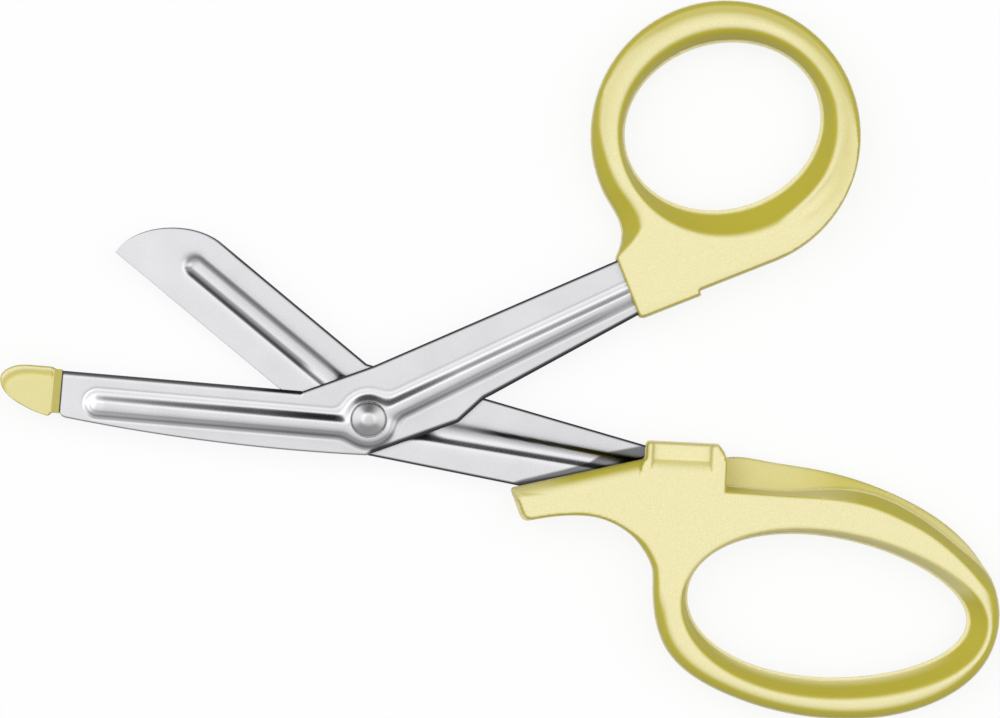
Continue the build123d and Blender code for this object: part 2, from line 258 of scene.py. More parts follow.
# The finger loop's outline, and the foot and the top of the wall behind its shelf, in shares of the
# loop's box
loop_shares = [
    (0.20, 0.996), (0.31, 0.989), (0.453, 0.967), (0.713, 0.868), (0.918, 0.680), (1.0, 0.444),
    (0.966, 0.244), (0.80, 0.065), (0.476, 0.002), (0.226, 0.075), (0.048, 0.237), (0.0, 0.485),
    (0.04, 0.78),
]
shelf_foot_shares = [
    (0.195, 0.882), (0.375, 0.874), (0.50, 0.893), (0.626, 0.880), (0.717, 0.832), (0.797, 0.767),
    (0.879, 0.687), (0.949, 0.614), (1.02, 0.515),
]
shelf_top_shares = [
    (0.195, 0.860), (0.376, 0.856), (0.50, 0.852), (0.616, 0.828), (0.700, 0.788), (0.772, 0.743),
    (0.853, 0.668), (0.913, 0.595), (0.985, 0.495),
]

# The lands where the two halves of the mould met: their widths, and the heights that they end between
hole_land = 0.42 * MM
outer_land = 0.26 * MM
land_heights = (0.3 * MM, 0.5 * MM)

# The thumb ring's outer slope: its width and depth at places round the ring, in degrees from the row's X
shoulder_places = (0, 20, 60, 120, 140, 160, 176, 190, 210, 222, 236, 242, 345)
shoulder_widths = (1.9, 3.0, 3.6, 3.6, 3.0, 2.0, 1.9, 2.6, 3.4, 4.0, 3.6, 0.4, 0.4)
shoulder_depths = (1.1, 1.8, 2.2, 2.2, 1.6, 1.2, 1.8, 2.8, 3.4, 3.8, 3.6, 0.25, 0.25)

# The soft valley outside the bead round the thumb hole: how far in from the outline, and its depth
valley_places = (300, 306, 316, 329, 339, 350, 360, 370, 380)
valley_insets = (5.0, 5.0, 4.8, 3.9, 2.8, 2.2, 1.8, 2.0, 2.2)
valley_depths = (0.0, 0.4, 0.8, 0.9, 0.9, 0.9, 0.75, 0.4, 0.0)
valley_width = 1.9 * MM

# Heights of the two sheets
sheet_thickness = 1.6 * MM
front_low = joint_height + blade_gap / 2
front_high = front_low + sheet_thickness
rear_high = joint_height - blade_gap / 2
rear_low = rear_high - sheet_thickness

# A mesh's edges are sharp above this angle, the rows by an outline keep within this share of a column, and
# a step in an outline is spread over this length
sharp_angle = radians(40)
row_share = 0.35
corner_step = 0.01 * MM

# The blades' meshes: where the finer columns by the boss end, the even rows, and the rows by the teeth
front_fine_end = 8 * MM
rear_fine_end = 12 * MM
front_rows = 62
rear_rows = 52
tooth_rows = (0.85 * MM, 1.15 * MM)

# Painted shade, from 0 on the faces to 1 on the steep walls. A moulding's walls take it from this far from
# the joint's height, so the lands keep the faces' colour, and from this steep. The slant and the guard have
# their own
wall_heights = (0.4 * MM, 0.85 * MM)
wall_slopes = (0.01, 0.22)
slant_slopes = (0.02, 0.3)
guard_slopes = (0.01, 0.5)

# Two bands of painted shade on the thumb ring: the middle in degrees from the row's X, how far from it they
# fade, how far in from the outline they lie, their half width and their tone
ring_shade_bands = (
    (8, (58, 25), 2.4 * MM, 1.7 * MM, 0.36),
    (150, (55, 20), 2.2 * MM, 1.6 * MM, 0.26),
)

# The finger handle's painted shade along it: on the shelf's floor, on the shelf's near wall and on the
# slant
floor_places = np.array([66.6, 72, 80, 88, 96, 118]) * MM
floor_tones = (0.5, 0.42, 0.5, 0.8, 0.7, 0.3)
near_wall_places = np.array([68, 75, 84, 92]) * MM
near_wall_tones = (0.9, 0.4, 0.45, 1.0)
slant_places = np.array([28, 33, 38]) * MM
slant_tones = (0.45, 0.6, 1.0)

# Which points are the shelf's floor: their heights and the least upward share of their normals. The walls
# that pass to it keep this share of their painted shade
floor_top = 5.4 * MM
floor_foot = 1.2 * MM
floor_normal = 0.6
floor_wall_share = 0.3

# How far down the stop block's and the slant's painted shade reaches, and the block's share of its walls'
# painted shade
block_drop = 6 * MM
block_tone = 0.55
slant_room = 2 * MM

# Less painted shade on the rim at the foot of the loop and on the brow of its hole: the shares taken off,
# and where they fade
foot_pale = 0.6
foot_pale_heights = (2.2 * MM, 0.5 * MM)
foot_pale_range = (14 * MM, 8 * MM)
brow_pale = 0.55
brow_pale_gaps = (2.6 * MM, 2.0 * MM)
brow_pale_range = (2 * MM, 5 * MM)

# The guard's painted shade: on its face, and in the fold inside its lip and on its collar
face_tone = 0.3
face_tone_fade = 0.5 * MM
fold_tone = 0.75
fold_half = 0.45 * MM
fold_end = 2.5 * MM


# Plane geometry

def turned(x, y, angle):
    """The points (x, y) turned about the pivot by the angle, as arrays."""
    return x * cos(angle) - y * sin(angle), x * sin(angle) + y * cos(angle)


def swung(x, y, angle):
    """A blade's point, given along its own cutting edge, in its arm's frame."""
    return turned(x, y, -angle)


def smooth_curve(points, samples, start=None, end=None):
    """A smooth curve through the points, a cubic in the chord length. With no end directions it is closed.

    The slopes m at the points solve m[i-1]/h[i-1] + 2 m[i] (1/h[i-1] + 1/h[i]) + m[i+1]/h[i] =
    3 (d[i-1]/h[i-1]^2 + d[i]/h[i]^2), where h is a span's chord and d its step. An open curve's first
    and last slopes are its end directions. Each span is then the cubic between its two ends
    and their slopes.
    """
    points = np.array(points)
    count = len(points)
    step = np.roll(points, -1, axis=0) - points
    chord = np.hypot(step[:, 0], step[:, 1])
    last = np.roll(chord, 1)
    index = np.arange(count)
    system = np.zeros((count, count))
    system[index, index - 1] = 1 / last
    system[index, index] = 2 * (1 / last + 1 / chord)
    system[index, (index + 1) % count] = 1 / chord
    pull = step / chord[:, None] ** 2
    pull = 3 * (np.roll(pull, 1, axis=0) + pull)
    is_open = start is not None
    if is_open:
        for row, direction in ((0, start), (-1, end)):
            system[row] = 0
            system[row, row] = 1
            pull[row] = np.array(direction) / np.hypot(*direction)
    slopes = np.linalg.solve(system, pull)
    t = np.linspace(0, 1, samples, endpoint=False)[None, :, None]
    here, there = points[:, None], np.roll(points, -1, axis=0)[:, None]
    slope_here = (slopes * chord[:, None])[:, None]
    slope_there = (np.roll(slopes, -1, axis=0) * chord[:, None])[:, None]
    curve = (here * (1 + 2 * t) * (1 - t) ** 2 + slope_here * t * (1 - t) ** 2
             + there * t ** 2 * (3 - 2 * t) - slope_there * t ** 2 * (1 - t))
    if is_open:
        return np.concatenate([curve[:-1].reshape(-1, 2), points[-1:]])
    return curve.reshape(-1, 2)


def hermite(start, end, start_slope, end_slope, samples):
    """The cubic from start to end that leaves and arrives with the given slopes."""
    t = np.linspace(0, 1, samples)[:, None]
    start, end = np.array(start), np.array(end)
    start_slope, end_slope = np.array(start_slope), np.array(end_slope)
    return (start * (1 + 2 * t) * (1 - t) ** 2 + start_slope * t * (1 - t) ** 2
            + end * t ** 2 * (3 - 2 * t) - end_slope * t ** 2 * (1 - t))


def rounded(corners, radii, samples=corner_samples):
    """A polygon whose corners are rounded by parabolas that leave each side at the corner's radius."""
    corners = np.array(corners)
    radii = np.broadcast_to(np.array(radii), len(corners))[:, None]
    before = np.roll(corners, 1, axis=0) - corners
    after = np.roll(corners, -1, axis=0) - corners
    start = corners + before / np.linalg.norm(before, axis=1, keepdims=True) * radii
    end = corners + after / np.linalg.norm(after, axis=1, keepdims=True) * radii
    t = np.linspace(0, 1, samples)[None, :, None]
    curve = start[:, None] * (1 - t) ** 2 + 2 * corners[:, None] * t * (1 - t) + end[:, None] * t ** 2
    return curve.reshape(-1, 2)


def outline_distance(x, y, outline):
    """Distance from (x, y) to a closed outline, negative inside.

    It is the least distance to the outline's sides. The sign comes from how many sides a ray
    from the point crosses.
    """
    nearest = np.full(np.broadcast(x, y).shape, np.inf)
    crossings = np.zeros(nearest.shape, bool)
    for (ax, ay), (bx, by) in zip(outline, np.roll(outline, -1, axis=0)):
        dx, dy = bx - ax, by - ay
        length = dx * dx + dy * dy
        if length == 0:
            continue
        along = np.clip(((x - ax) * dx + (y - ay) * dy) / length, 0, 1)
        gap = (x - ax - along * dx) ** 2 + (y - ay - along * dy) ** 2
        nearest = np.minimum(nearest, gap)
        if dy != 0:
            spans = (ay > y) != (by > y)
            crossings ^= spans & (x < ax + (y - ay) * dx / dy)
    return np.where(crossings, -1, 1) * np.sqrt(nearest)


def oval_distance(x, y, long, short, egg):
    """Distance to an oval, to first order: its scaled radius less 1, over that radius's slope."""
    share = x / long
    width = short * (1 - egg * share)
    scaled = np.sqrt(share ** 2 + (y / width) ** 2) + 1e-9
    slope = np.hypot(share / long, y / width ** 2) / scaled
    return (scaled - 1) / np.maximum(slope, 1e-9)


def soft_min(a, b, blend):
    """The smaller of a and b, rounded where they differ by less than blend."""
    mix = np.clip(0.5 + 0.5 * (b - a) / blend, 0, 1)
    return b + (a - b) * mix - blend * mix * (1 - mix)


def soft_max(a, b, blend):
    """The larger of a and b, rounded where they differ by less than blend."""
    return -soft_min(-a, -b, blend)


def ease(value, low, high):
    """A smooth step from 0 at low to 1 at high."""
    share = np.clip((value - low) / (high - low), 0, 1)
    return share * share * (3 - 2 * share)


# Meshes

def new_piece(node, finish, points, faces, body):
    """A mesh object at the origin, smooth, on its body and in place of its solid."""
    name = f"{node}_{finish}"
    mesh = bpy.data.meshes.new(name)
    mesh.vertices.add(len(points))
    mesh.vertices.foreach_set("co", np.asarray(points, np.float32).ravel())
    mesh.loops.add(faces.size)
    mesh.loops.foreach_set("vertex_index", faces.astype(np.int32).ravel())
    mesh.polygons.add(len(faces))
    mesh.polygons.foreach_set("loop_start", np.arange(0, faces.size, faces.shape[1], dtype=np.int32))
    mesh.update(calc_edges=True)
    mesh.polygons.foreach_set("use_smooth", np.ones(len(faces), bool))
    piece = bpy.data.objects.new(name, mesh)
    bpy.context.scene.collection.objects.link(piece)
    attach(piece, body)
    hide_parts(node)
    return piece


def add_mask(piece, name, values):
    """A value for each point of the piece, which its material reads by name."""
    mask = piece.data.attributes.new(name, "FLOAT", "POINT")
    mask.data.foreach_set("value", np.asarray(values, np.float32))


def field_slope(field, points, step):
    """The field's value and its slope in x, y and z, from central differences."""
    x, y, z = points.T
    slope = np.stack([
        field(x + step, y, z) - field(x - step, y, z),
        field(x, y + step, z) - field(x, y - step, z),
        field(x, y, z + step) - field(x, y, z - step),
    ], axis=1) / (2 * step)
    return field(x, y, z), slope


def surface(field, low, high, cell):
    """The closed surface where field(x, y, z) is zero, as points, quads and normals.

    Every cell of a grid that the surface passes through gets one point, the mean of where it crosses the
    cell's edges. Every crossed edge joins the points of the four cells round it, turned so that
    the quad faces the positive side. Newton steps, value times slope over slope squared, then
    bring each point onto the surface.
    """
    axes = [np.arange(a - 2 * cell, b + 3 * cell, cell) for a, b in zip(low, high)]
    values = field(axes[0][:, None, None], axes[1][None, :, None], axes[2][None, None, :])
    shape = np.array(values.shape)
    cells, spots = [], []
    for axis in range(3):
        before = values.take(np.arange(shape[axis] - 1), axis)
        after = values.take(np.arange(1, shape[axis]), axis)
        edges = np.argwhere((before < 0) != (after < 0))
        start = before[tuple(edges.T)]
        end = after[tuple(edges.T)]
        spot = edges.astype(float)
        spot[:, axis] += start / (start - end)
        side = np.eye(3, dtype=int)[(axis + 1) % 3]
        above = np.eye(3, dtype=int)[(axis + 2) % 3]
        ring = np.stack([edges, edges - side, edges - side - above, edges - above], axis=1)
        ring[start > 0] = ring[start > 0][:, ::-1]
        cells.append(ring)
        spots.append(np.repeat(spot[:, None], 4, axis=1))
    cells = np.concatenate(cells)
    spots = np.concatenate(spots).reshape(-1, 3)
    flat = np.ravel_multi_index(tuple(cells.reshape(-1, 3).T), tuple(shape))
    _, index = np.unique(flat, return_inverse=True)
    index = index.ravel()
    count = np.bincount(index)
    points = np.stack([np.bincount(index, spots[:, k]) / count for k in range(3)], axis=1)
    points = points * cell + np.array([axis[0] for axis in axes])
    for _ in range(3):
        value, slope = field_slope(field, points, cell / 20)
        move = value[:, None] * slope / np.maximum((slope ** 2).sum(1, keepdims=True), 1e-6)
        points -= np.clip(move, -cell / 2, cell / 2)
    slope = field_slope(field, points, cell / 20)[1]
    normals = slope / np.linalg.norm(slope, axis=1, keepdims=True)
    return points, index.reshape(-1, 4), normals


def steep_wall_shade(points, normals):
    """Painted shade: 0 on the faces and the lands, and 1 on the steep walls."""
    off_land = ease(np.abs(points[:, 2] - joint_height), *wall_heights)
    return ease(1 - np.abs(normals[:, 2]), *wall_slopes) * off_land


def moulding(node, field, tone, low, high, tilt, cell, body):
    """A moulded piece from its field in an arm's frame, turned into the row's frame.

    The mask wall is the piece's painted shade, worked out from the points and normals before they turn.
    """
    points, faces, normals = surface(field, low, high, cell)
    wall = tone(points, normals)
    points[:, 0], points[:, 1] = turned(points[:, 0], points[:, 1], tilt)
    normals[:, 0], normals[:, 1] = turned(normals[:, 0], normals[:, 1], tilt)
    piece = new_piece(node, "moulding", points, faces, body)
    piece.data.normals_split_custom_set_from_vertices(normals)
    add_mask(piece, "wall", wall)
    return piece


# Fields, in metres, negative inside

def plate(outline, up, half, edge):
    """A plate of half its thickness each side of its middle, with its rims rounded by edge."""
    across = outline + edge
    above = np.abs(up) - (half - edge)
    outer = np.hypot(np.maximum(across, 0), np.maximum(above, 0))
    return outer + np.minimum(np.maximum(across, above), 0) - edge


def bevel(outline, up, half, width, depth):
    """The flat bevel round a plate, from width in from its outline to depth down at the outline."""
    slope = depth / width
    return (np.abs(up) - half + (outline + width) * slope) / np.hypot(1, slope)


def flared_hole(x, y, up, hole):
    """Distance to a hole that widens from a narrow land at mid-height to both faces."""
    land = hole_land * ease(np.abs(up), *land_heights)
    spread = np.maximum(np.abs(up) - land_heights[0], 0) / (joint_height - land_heights[0])
    left, right, top, foot = [land + (amount * MM - hole_land) * spread for amount in hole["flare"]]
    across_x = x - hole["centre"][0] - (right - left) / 2
    across_y = y - hole["centre"][1] - (top - foot) / 2
    along, over = turned(across_x, across_y, -hole["tilt"])
    long = hole["long"] + (left + right) / 2
    short = hole["short"] + (top + foot) / 2
    return oval_distance(along, over, long, short, hole["egg"])


def slot_field(x, y, z, outline, low, high):
    """A slot for a tang: its outline between two heights."""
    across = outline_distance(x, y, outline) - tang_room
    return np.maximum(across, np.maximum(low - tang_room - z, z - high - tang_room))


ring_y = thumb_stop + stop_step + ring_radius

# The two holes at mid-height: egg is how much narrower they get towards +X, and flare is how much
# further out they lie at the faces, in millimetres at the left, right, top and foot
thumb_hole = {
    "centre": (ring_x + thumb_hole_along, ring_y + thumb_hole_across),
    "long": 18.4 * MM,
    "short": 15.3 * MM,
    "tilt": radians(-4.8),
    "egg": 0.0,
    "flare": (1.2, 2.0, 1.7, 5.4),
}
finger_hole = {
    "centre": (86.5 * MM, -30.7 * MM),
    "long": 26.0 * MM,
    "short": 13.0 * MM,
    "tilt": radians(-3.7),
    "egg": 0.12,
    "flare": (0.9, 4.2, 0.9, 3.6),
}


def thumb_outline():
    """The ring's arc, anticlockwise from its foot, and the neck that runs into it."""
    turns = np.radians(np.linspace(*arc_ends, arc_points))
    arc = np.stack([ring_x + ring_radius * np.cos(turns), ring_y + ring_radius * np.sin(turns)], axis=1)
    corner = (shank_reach, front_top_far + neck_cover)
    back = smooth_curve([arc[-1], neck_ring, neck_back, corner], 8, back_start, back_end)
    stop_end = shank_reach + stop_length
    sharp = [
        back[-2], corner, (shank_reach, thumb_stop), (stop_end, thumb_stop),
        (stop_end, thumb_stop + stop_step), arc[0],
    ]
    corners = rounded(sharp, np.array(neck_radii) * MM)[corner_samples:-corner_samples]
    return np.concatenate([back[:-2], corners, arc[:-1]])


ring_outline = thumb_outline()


def thumb_field(x, y, z):
    """The ring and its neck as one rounded plate, less the valley, the flared hole and the tang's slot."""
    up = z - joint_height
    plan_x, plan_y = x + 0 * y, y + 0 * x
    outline = outline_distance(plan_x, plan_y, ring_outline)
    place = np.degrees(np.arctan2(plan_y - ring_y, plan_x - ring_x) + thumb_tilt) % 360
    width = np.interp(place, shoulder_places, shoulder_widths, period=360) * MM
    depth = np.interp(place, shoulder_places, shoulder_depths, period=360) * MM
    taper = np.where(plan_x < ring_x, ease(plan_y, *neck_taper), 1)
    width = neck_bevel_width + (width - neck_bevel_width) * taper
    depth = neck_bevel_depth + (depth - neck_bevel_depth) * taper
    body = plate(outline + outer_land * ease(np.abs(up), *land_heights), up, joint_height, handle_rim)
    body = soft_max(body, bevel(outline, up, joint_height, width, depth), shoulder_blend)
    upward = ease(np.sin(np.radians(place)), *thumb_hole_round_range)
    bead_round = (thumb_hole_round + thumb_hole_round_top * upward) * MM
    place = np.where(place < 180, place + 360, place)
    inset = np.interp(place, valley_places, valley_insets) * MM
    valley = np.interp(place, valley_places, valley_depths, left=0, right=0) * MM
    valley = valley * np.exp(-((outline + inset) / valley_width) ** 2)
    body = np.maximum(body, np.abs(up) - joint_height + valley)
    body = soft_max(body, -flared_hole(x, y, up, thumb_hole), bead_round)
    slot_start = shank_reach - slot_lead
    shoulder = shank_reach + collar
    tang_end = shoulder + tang_length
    slot_outline = [
        (slot_start, front_foot_far), (shoulder, front_foot_far), (shoulder, tang_foot),
        (tang_end, tang_foot), (tang_end, tang_top), (shoulder, tang_top),
        (shoulder, front_top_far), (slot_start, front_top_far),
    ]
    return np.maximum(body, -slot_field(plan_x, plan_y, z, slot_outline, front_low, front_high))


def in_loop(shares):
    """Points at the given shares of the loop's length and height."""
    return [(loop_left + x * (loop_right - loop_left), loop_foot + y * (loop_top - loop_foot))
            for x, y in shares]


def shelf_outline(shares):
    """The region outside the wall's curve, as far as the shelf is cut."""
    points = np.array(in_loop(shares))
    wall = smooth_curve(points, 5, points[1] - points[0], points[-1] - points[-2])
    far = [(loop_right + cut_past, loop_top + cut_past), (shelf_start, loop_top + cut_past)]
    return np.concatenate([wall, far])


loop_outline = smooth_curve(in_loop(loop_shares), 14)
shelf_foot = shelf_outline(shelf_foot_shares)
shelf_top = shelf_outline(shelf_top_shares)


def finger_outline():
    """The nose, the stop block and the hollow under them."""
    under = hermite(nose_foot, under_high, nose_foot_slope, under_high_slopes[0], 10)
    under_rest = hermite(under_high, under_end, under_high_slopes[1], under_end_slopes[0], 10)
    down = hermite(under_end, throat, under_end_slopes[1], throat_slope, 8)
    sharp = [
        throat, (shelf_start, throat[1]), (shelf_start, loop_top),
        (shelf_start - stop_slope, finger_stop), (finger_stop_start, finger_stop),
        (finger_stop_start, finger_stop - finger_stop_depth), nose_top, nose_foot,
    ]
    curved = rounded([*sharp, under[3]], np.array(finger_radii) * MM)
    return np.concatenate([curved, under[4:], under_rest[1:], down[1:-1]])


neck_outline = finger_outline()


def finger_field(x, y, z):
    """The loop and its neck as one rounded plate, less the hole, the shelf, the ledge and the slot."""
    up = z - joint_height
    plan_x, plan_y = x + 0 * y, y + 0 * x
    loop = outline_distance(plan_x, plan_y, loop_outline)
    neck = outline_distance(plan_x, plan_y, neck_outline)
    outline = soft_min(loop, neck, loop_blend)
    edge = finger_rim + loop_rim * ease(neck - loop, *loop_rim_range)
    slant = ease(finger_stop_start - plan_x, 0, slant_start) * ease(plan_y + slant_drop, 0, slant_fade)
    nose = ease(nose_top[0] + nose_land_reach - plan_x, 0, nose_land_fade)
    land = (outer_land + nose_land * nose) * (1 - slant)
    body = plate(outline + land * ease(np.abs(up), *land_heights), up, joint_height, edge)
    hollow = ease(plan_x, *hollow_side) * ease(plan_y, *hollow_top) * ease(plan_y, *hollow_foot)
    width = finger_edge + (slant_edge - finger_edge) * slant + hollow_edge * hollow
    edge_blend = (finger_edge_blend + slant_edge_blend * slant) * MM
    body = soft_max(body, bevel(outline, up, joint_height, width, width), edge_blend)
    body = soft_max(body, -flared_hole(x, y, up, finger_hole), finger_hole_round)
    floor = handle_thickness - shelf_depth
    foot = outline_distance(plan_x, plan_y, shelf_foot)
    top = outline_distance(plan_x, plan_y, shelf_top)
    wall = foot + (top - foot) * np.clip((z - floor) / shelf_depth, 0, 1)
    lean = shelf_lean_share + (1 - shelf_lean_share) * ease(plan_x, *shelf_lean_places)
    shelf = soft_max(wall, floor - shelf_lean * lean * np.maximum(-foot, 0) - z, shelf_fillet)
    body = soft_max(body, -shelf, shelf_brim)
    ledge_x = (finger_stop_start + ledge_rim, shelf_start - stop_slope - ledge_rim)
    slope = ledge_slope / ledge_depth
    rise = (handle_thickness - z) * slope + finger_stop - ledge_width - ledge_slope - plan_y
    ledge = np.maximum(np.abs(plan_x - sum(ledge_x) / 2) - (ledge_x[1] - ledge_x[0]) / 2,
                       rise / np.hypot(1, slope))
    ledge = np.maximum(ledge, handle_thickness - ledge_depth - z)
    body = soft_max(body, -ledge, ledge_round)
    slot_start = nose_top[0] - cut_past
    slot_outline = [
        (slot_start, rear_foot_far), (rear_tang_reach, rear_foot_far),
        (rear_tang_reach, rear_tang_top), (rear_shank_reach, rear_tang_top),
        (rear_shank_reach, rear_top_far), (slot_start, rear_top_far + cut_past),
    ]
    return np.maximum(body, -slot_field(plan_x, plan_y, z, slot_outline, rear_low, rear_high))


def thumb_shade(points, normals):
    """Painted shade on the thumb handle's walls, with bands of painted shade on the ring, at its right and
    upper left.
    """
    across, over = points[:, 0] - ring_x, points[:, 1] - ring_y
    place = np.degrees(np.arctan2(over, across) + thumb_tilt)
    inset = ring_radius - np.hypot(across, over)
    bands = np.zeros(len(points))
    for middle, fade, depth, half, tone in ring_shade_bands:
        bands += tone * ease(np.abs(place - middle), *fade) * np.exp(-((inset - depth) / half) ** 2)
    return np.maximum(steep_wall_shade(points, normals), bands)


def finger_shade(points, normals):
    """Painted shade on the finger handle's walls, with painted shade of its own for the shelf, the stop
    block and the slant.

    The shelf's floor gets more painted shade towards its far end and its near wall less at the middle. The
    loop's foot and the brow of its hole get less painted shade too.
    """
    x, y, z = points.T
    wall = steep_wall_shade(points, normals)
    behind = outline_distance(x, y, shelf_top) < 0
    floor = behind & (z < floor_top) & (z > joint_height - floor_foot)
    floor &= np.abs(normals[:, 2]) > floor_normal
    near_wall = np.interp(x, near_wall_places, near_wall_tones)
    wall = np.where(behind & ~floor & (x > shelf_start), wall * near_wall, wall)
    block = (x > finger_stop_start + ledge_rim / 2) & (x < shelf_start - stop_slope)
    wall = np.where(block & (y > finger_stop - block_drop), block_tone * wall, wall)
    slant = (x < finger_stop_start) & (y > nose_top[1] - slant_room)
    slant_tone = ease(1 - np.abs(normals[:, 2]), *slant_slopes) * np.interp(x, slant_places, slant_tones)
    wall = np.where(slant, slant_tone, wall)
    foot = ease(np.abs(z - joint_height), *foot_pale_heights) * ease(y - loop_foot, *foot_pale_range)
    brow = ease(flared_hole(x, y, 0 * z, finger_hole), *brow_pale_gaps)
    brow = brow * ease(y - finger_hole["centre"][1], *brow_pale_range)
    pale = (1 - foot_pale * foot) * (1 - brow_pale * brow)
    wall = np.where(x > throat[0], wall * pale, wall)
    along = np.interp(x, floor_places, floor_tones)
    return np.where(floor, np.maximum(along, wall * floor_wall_share), wall)


def guard_outline():
    """The guard's blunt nose, its brow and flat top, and the belly that runs back to the neck."""
    far = -front_reach - guard_length
    near = -front_reach - guard_neck
    nose = (far, guard_nose)
    belly = [(far + along * guard_length, drop * guard_foot) for along, drop in guard_belly_shares]
    brow = [(far + along * guard_length, rise * guard_top) for along, rise in guard_brow_shares]
    foot_end = (near - guard_corner, guard_foot)
    foot = smooth_curve([foot_end, *belly, nose], 9, (-1, guard_foot_slope_share), (0, 1))
    top = smooth_curve([nose, *brow], 9, (0, 1), (1, 0))
    end = [
        (near - guard_corner, guard_top), (near, guard_top - guard_corner / 2),
        (near, guard_foot + guard_corner),
    ]
    return np.concatenate([foot[:-1], top, end])


guard_cap = guard_outline()


def guard_face(x, y):
    """Distance to the guard's face, which lies inside its rolled lip."""
    return outline_distance(x - lip_width * lip_lean, y + lip_width, guard_cap)


def guard_shade(points, normals):
    """Painted shade on the guard's walls, on its face, in the fold inside its lip, and on its collar."""
    wall = ease(1 - np.abs(normals[:, 2]), *guard_slopes)
    face = guard_face(points[:, 0], points[:, 1])
    fold = fold_tone * np.exp(-(face / fold_half) ** 2) * (points[:, 1] > guard_collar_foot + fold_end)
    neck = fold_tone * (points[:, 0] > -front_reach - guard_neck)
    return np.maximum.reduce([wall, face_tone * ease(-face, 0, face_tone_fade), fold, neck])


def guard_field(x, y, z):
    """The guard as a rounded plate with a valley inside its lip and a collar, less the tongue's slot."""
    up = z - (front_low + front_high) / 2
    plan_x, plan_y = x + 0 * y, y + 0 * x
    outline = outline_distance(plan_x, plan_y, guard_cap)
    body = plate(outline, up, guard_thickness / 2, guard_round)
    face = guard_face(plan_x, plan_y)
    valley = np.exp(-(face / valley_half) ** 2) + face_drop * ease(-face, 0, face_fade)
    body = np.maximum(body, np.abs(up) - guard_thickness / 2 + guard_valley * valley)
    collar_x = -front_reach - guard_neck / 2
    across = np.maximum(np.abs(plan_x - collar_x) - guard_neck / 2 - collar_cover,
                        np.maximum(plan_y - guard_collar_top, guard_collar_foot - plan_y))
    neck = plate(across, up, guard_thickness / 2 - collar_drop, collar_rim)
    height = np.abs(up) - guard_thickness / 2 + collar_chamfer
    slope = (height + collar_slope * (plan_x + front_reach + guard_neck)) / collar_slope_length
    neck = np.maximum(np.maximum(neck, slope), plan_x + front_reach)
    body = np.minimum(body, neck)
    end = -front_reach - tongue_length
    slot_outline = [
        (end, tongue_rise - tongue_half), (0, tongue_rise - tongue_half),
        (0, tongue_rise + tongue_half), (end, tongue_rise + tongue_half),
    ]
    return np.maximum(body, -slot_field(plan_x, plan_y, z, slot_outline, front_low, front_high))


# The blades

def bar_distance(x, y, start, end, start_radius, end_radius):
    """Distance to a round-ended bar whose radius runs from one end's to the other's.

    It comes with the step from the nearest point of the bar's line, in x and y.
    """
    dx, dy = end[0] - start[0], end[1] - start[1]
    along = np.clip(((x - start[0]) * dx + (y - start[1]) * dy) / (dx * dx + dy * dy), 0, 1)
    step = np.stack([x - start[0] - along * dx, y - start[1] - along * dy])
    return np.hypot(*step) - start_radius - (end_radius - start_radius) * along, step


def bead_rise(x, y, bead, inset):
    """How high a pressed bead stands at (x, y), from 0 to 1, its distance, and 1 on its upper side.

    With s the share of the way in from its outline, its lower flank is steep at a soft foot and rounds
    over: s becomes (s + sqrt(s^2 + foot^2)) / 2, and the rise is 1 - (1 - s)^3. A humped bead's upper
    flank is a smooth step of s, steepest halfway. The direction from the bead's line tells the flanks.
    """
    settings = bpy.context.scene.blade_settings
    half = settings.bead_width / 2 - inset
    end_half = bead_end_width / 2 - inset
    blade_bar, blade_step = bar_distance(x, y, bead["tip"], bead["foot"], half, half)
    shank_bar, shank_step = bar_distance(x, y, (0, 0), bead["shank"], half, end_half)
    boss = np.hypot(x, y) - boss_radius + inset
    gap = soft_min(soft_min(blade_bar, shank_bar, bead_blend), boss, bead_blend)
    gaps = np.stack([blade_bar, shank_bar, boss])
    steps = np.stack([blade_step, shank_step, [x, y]])
    steps = steps / (np.hypot(steps[:, 0], steps[:, 1])[:, None] + bead_middle_soft)
    weights = np.exp((gaps.min(axis=0) - gaps) / (bead_weight_share * bead_blend))
    step = (steps * weights[:, None]).sum(axis=0) / weights.sum(axis=0)
    side = ease(step[0] * sin(bead["tilt"]) + step[1] * cos(bead["tilt"]), *bead_side_range)
    share = -gap / half
    upper = ease(share, *bead_flank_shares)
    share = np.clip((share + np.sqrt(share ** 2 + bead_foot_share ** 2)) / 2, 0, 1)
    lower = 1 - (1 - share) ** 3
    return lower + (upper - lower) * side * bead["hump"], gap, side


def sheet_faces(keep):
    """Quads for the kept cells of a grid, on both faces, and for the walls along their border.

    The points are numbered by column and row, with the lower face's after the upper's. A side
    that only one kept cell has gets a wall.
    """
    columns, rows = keep.shape
    index = np.arange((columns + 1) * (rows + 1)).reshape(columns + 1, rows + 1)
    quads = np.stack([index[:-1, :-1], index[1:, :-1], index[1:, 1:], index[:-1, 1:]], axis=-1)[keep]
    starts = quads.ravel()
    ends = np.roll(quads, -1, axis=1).ravel()
    forward = starts * index.size + ends
    backward = ends * index.size + starts
    border = ~np.isin(forward, backward)
    a, b = starts[border], ends[border]
    walls = np.stack([b, a, a + index.size, b + index.size], axis=1)
    return quads, quads[:, ::-1] + index.size, walls


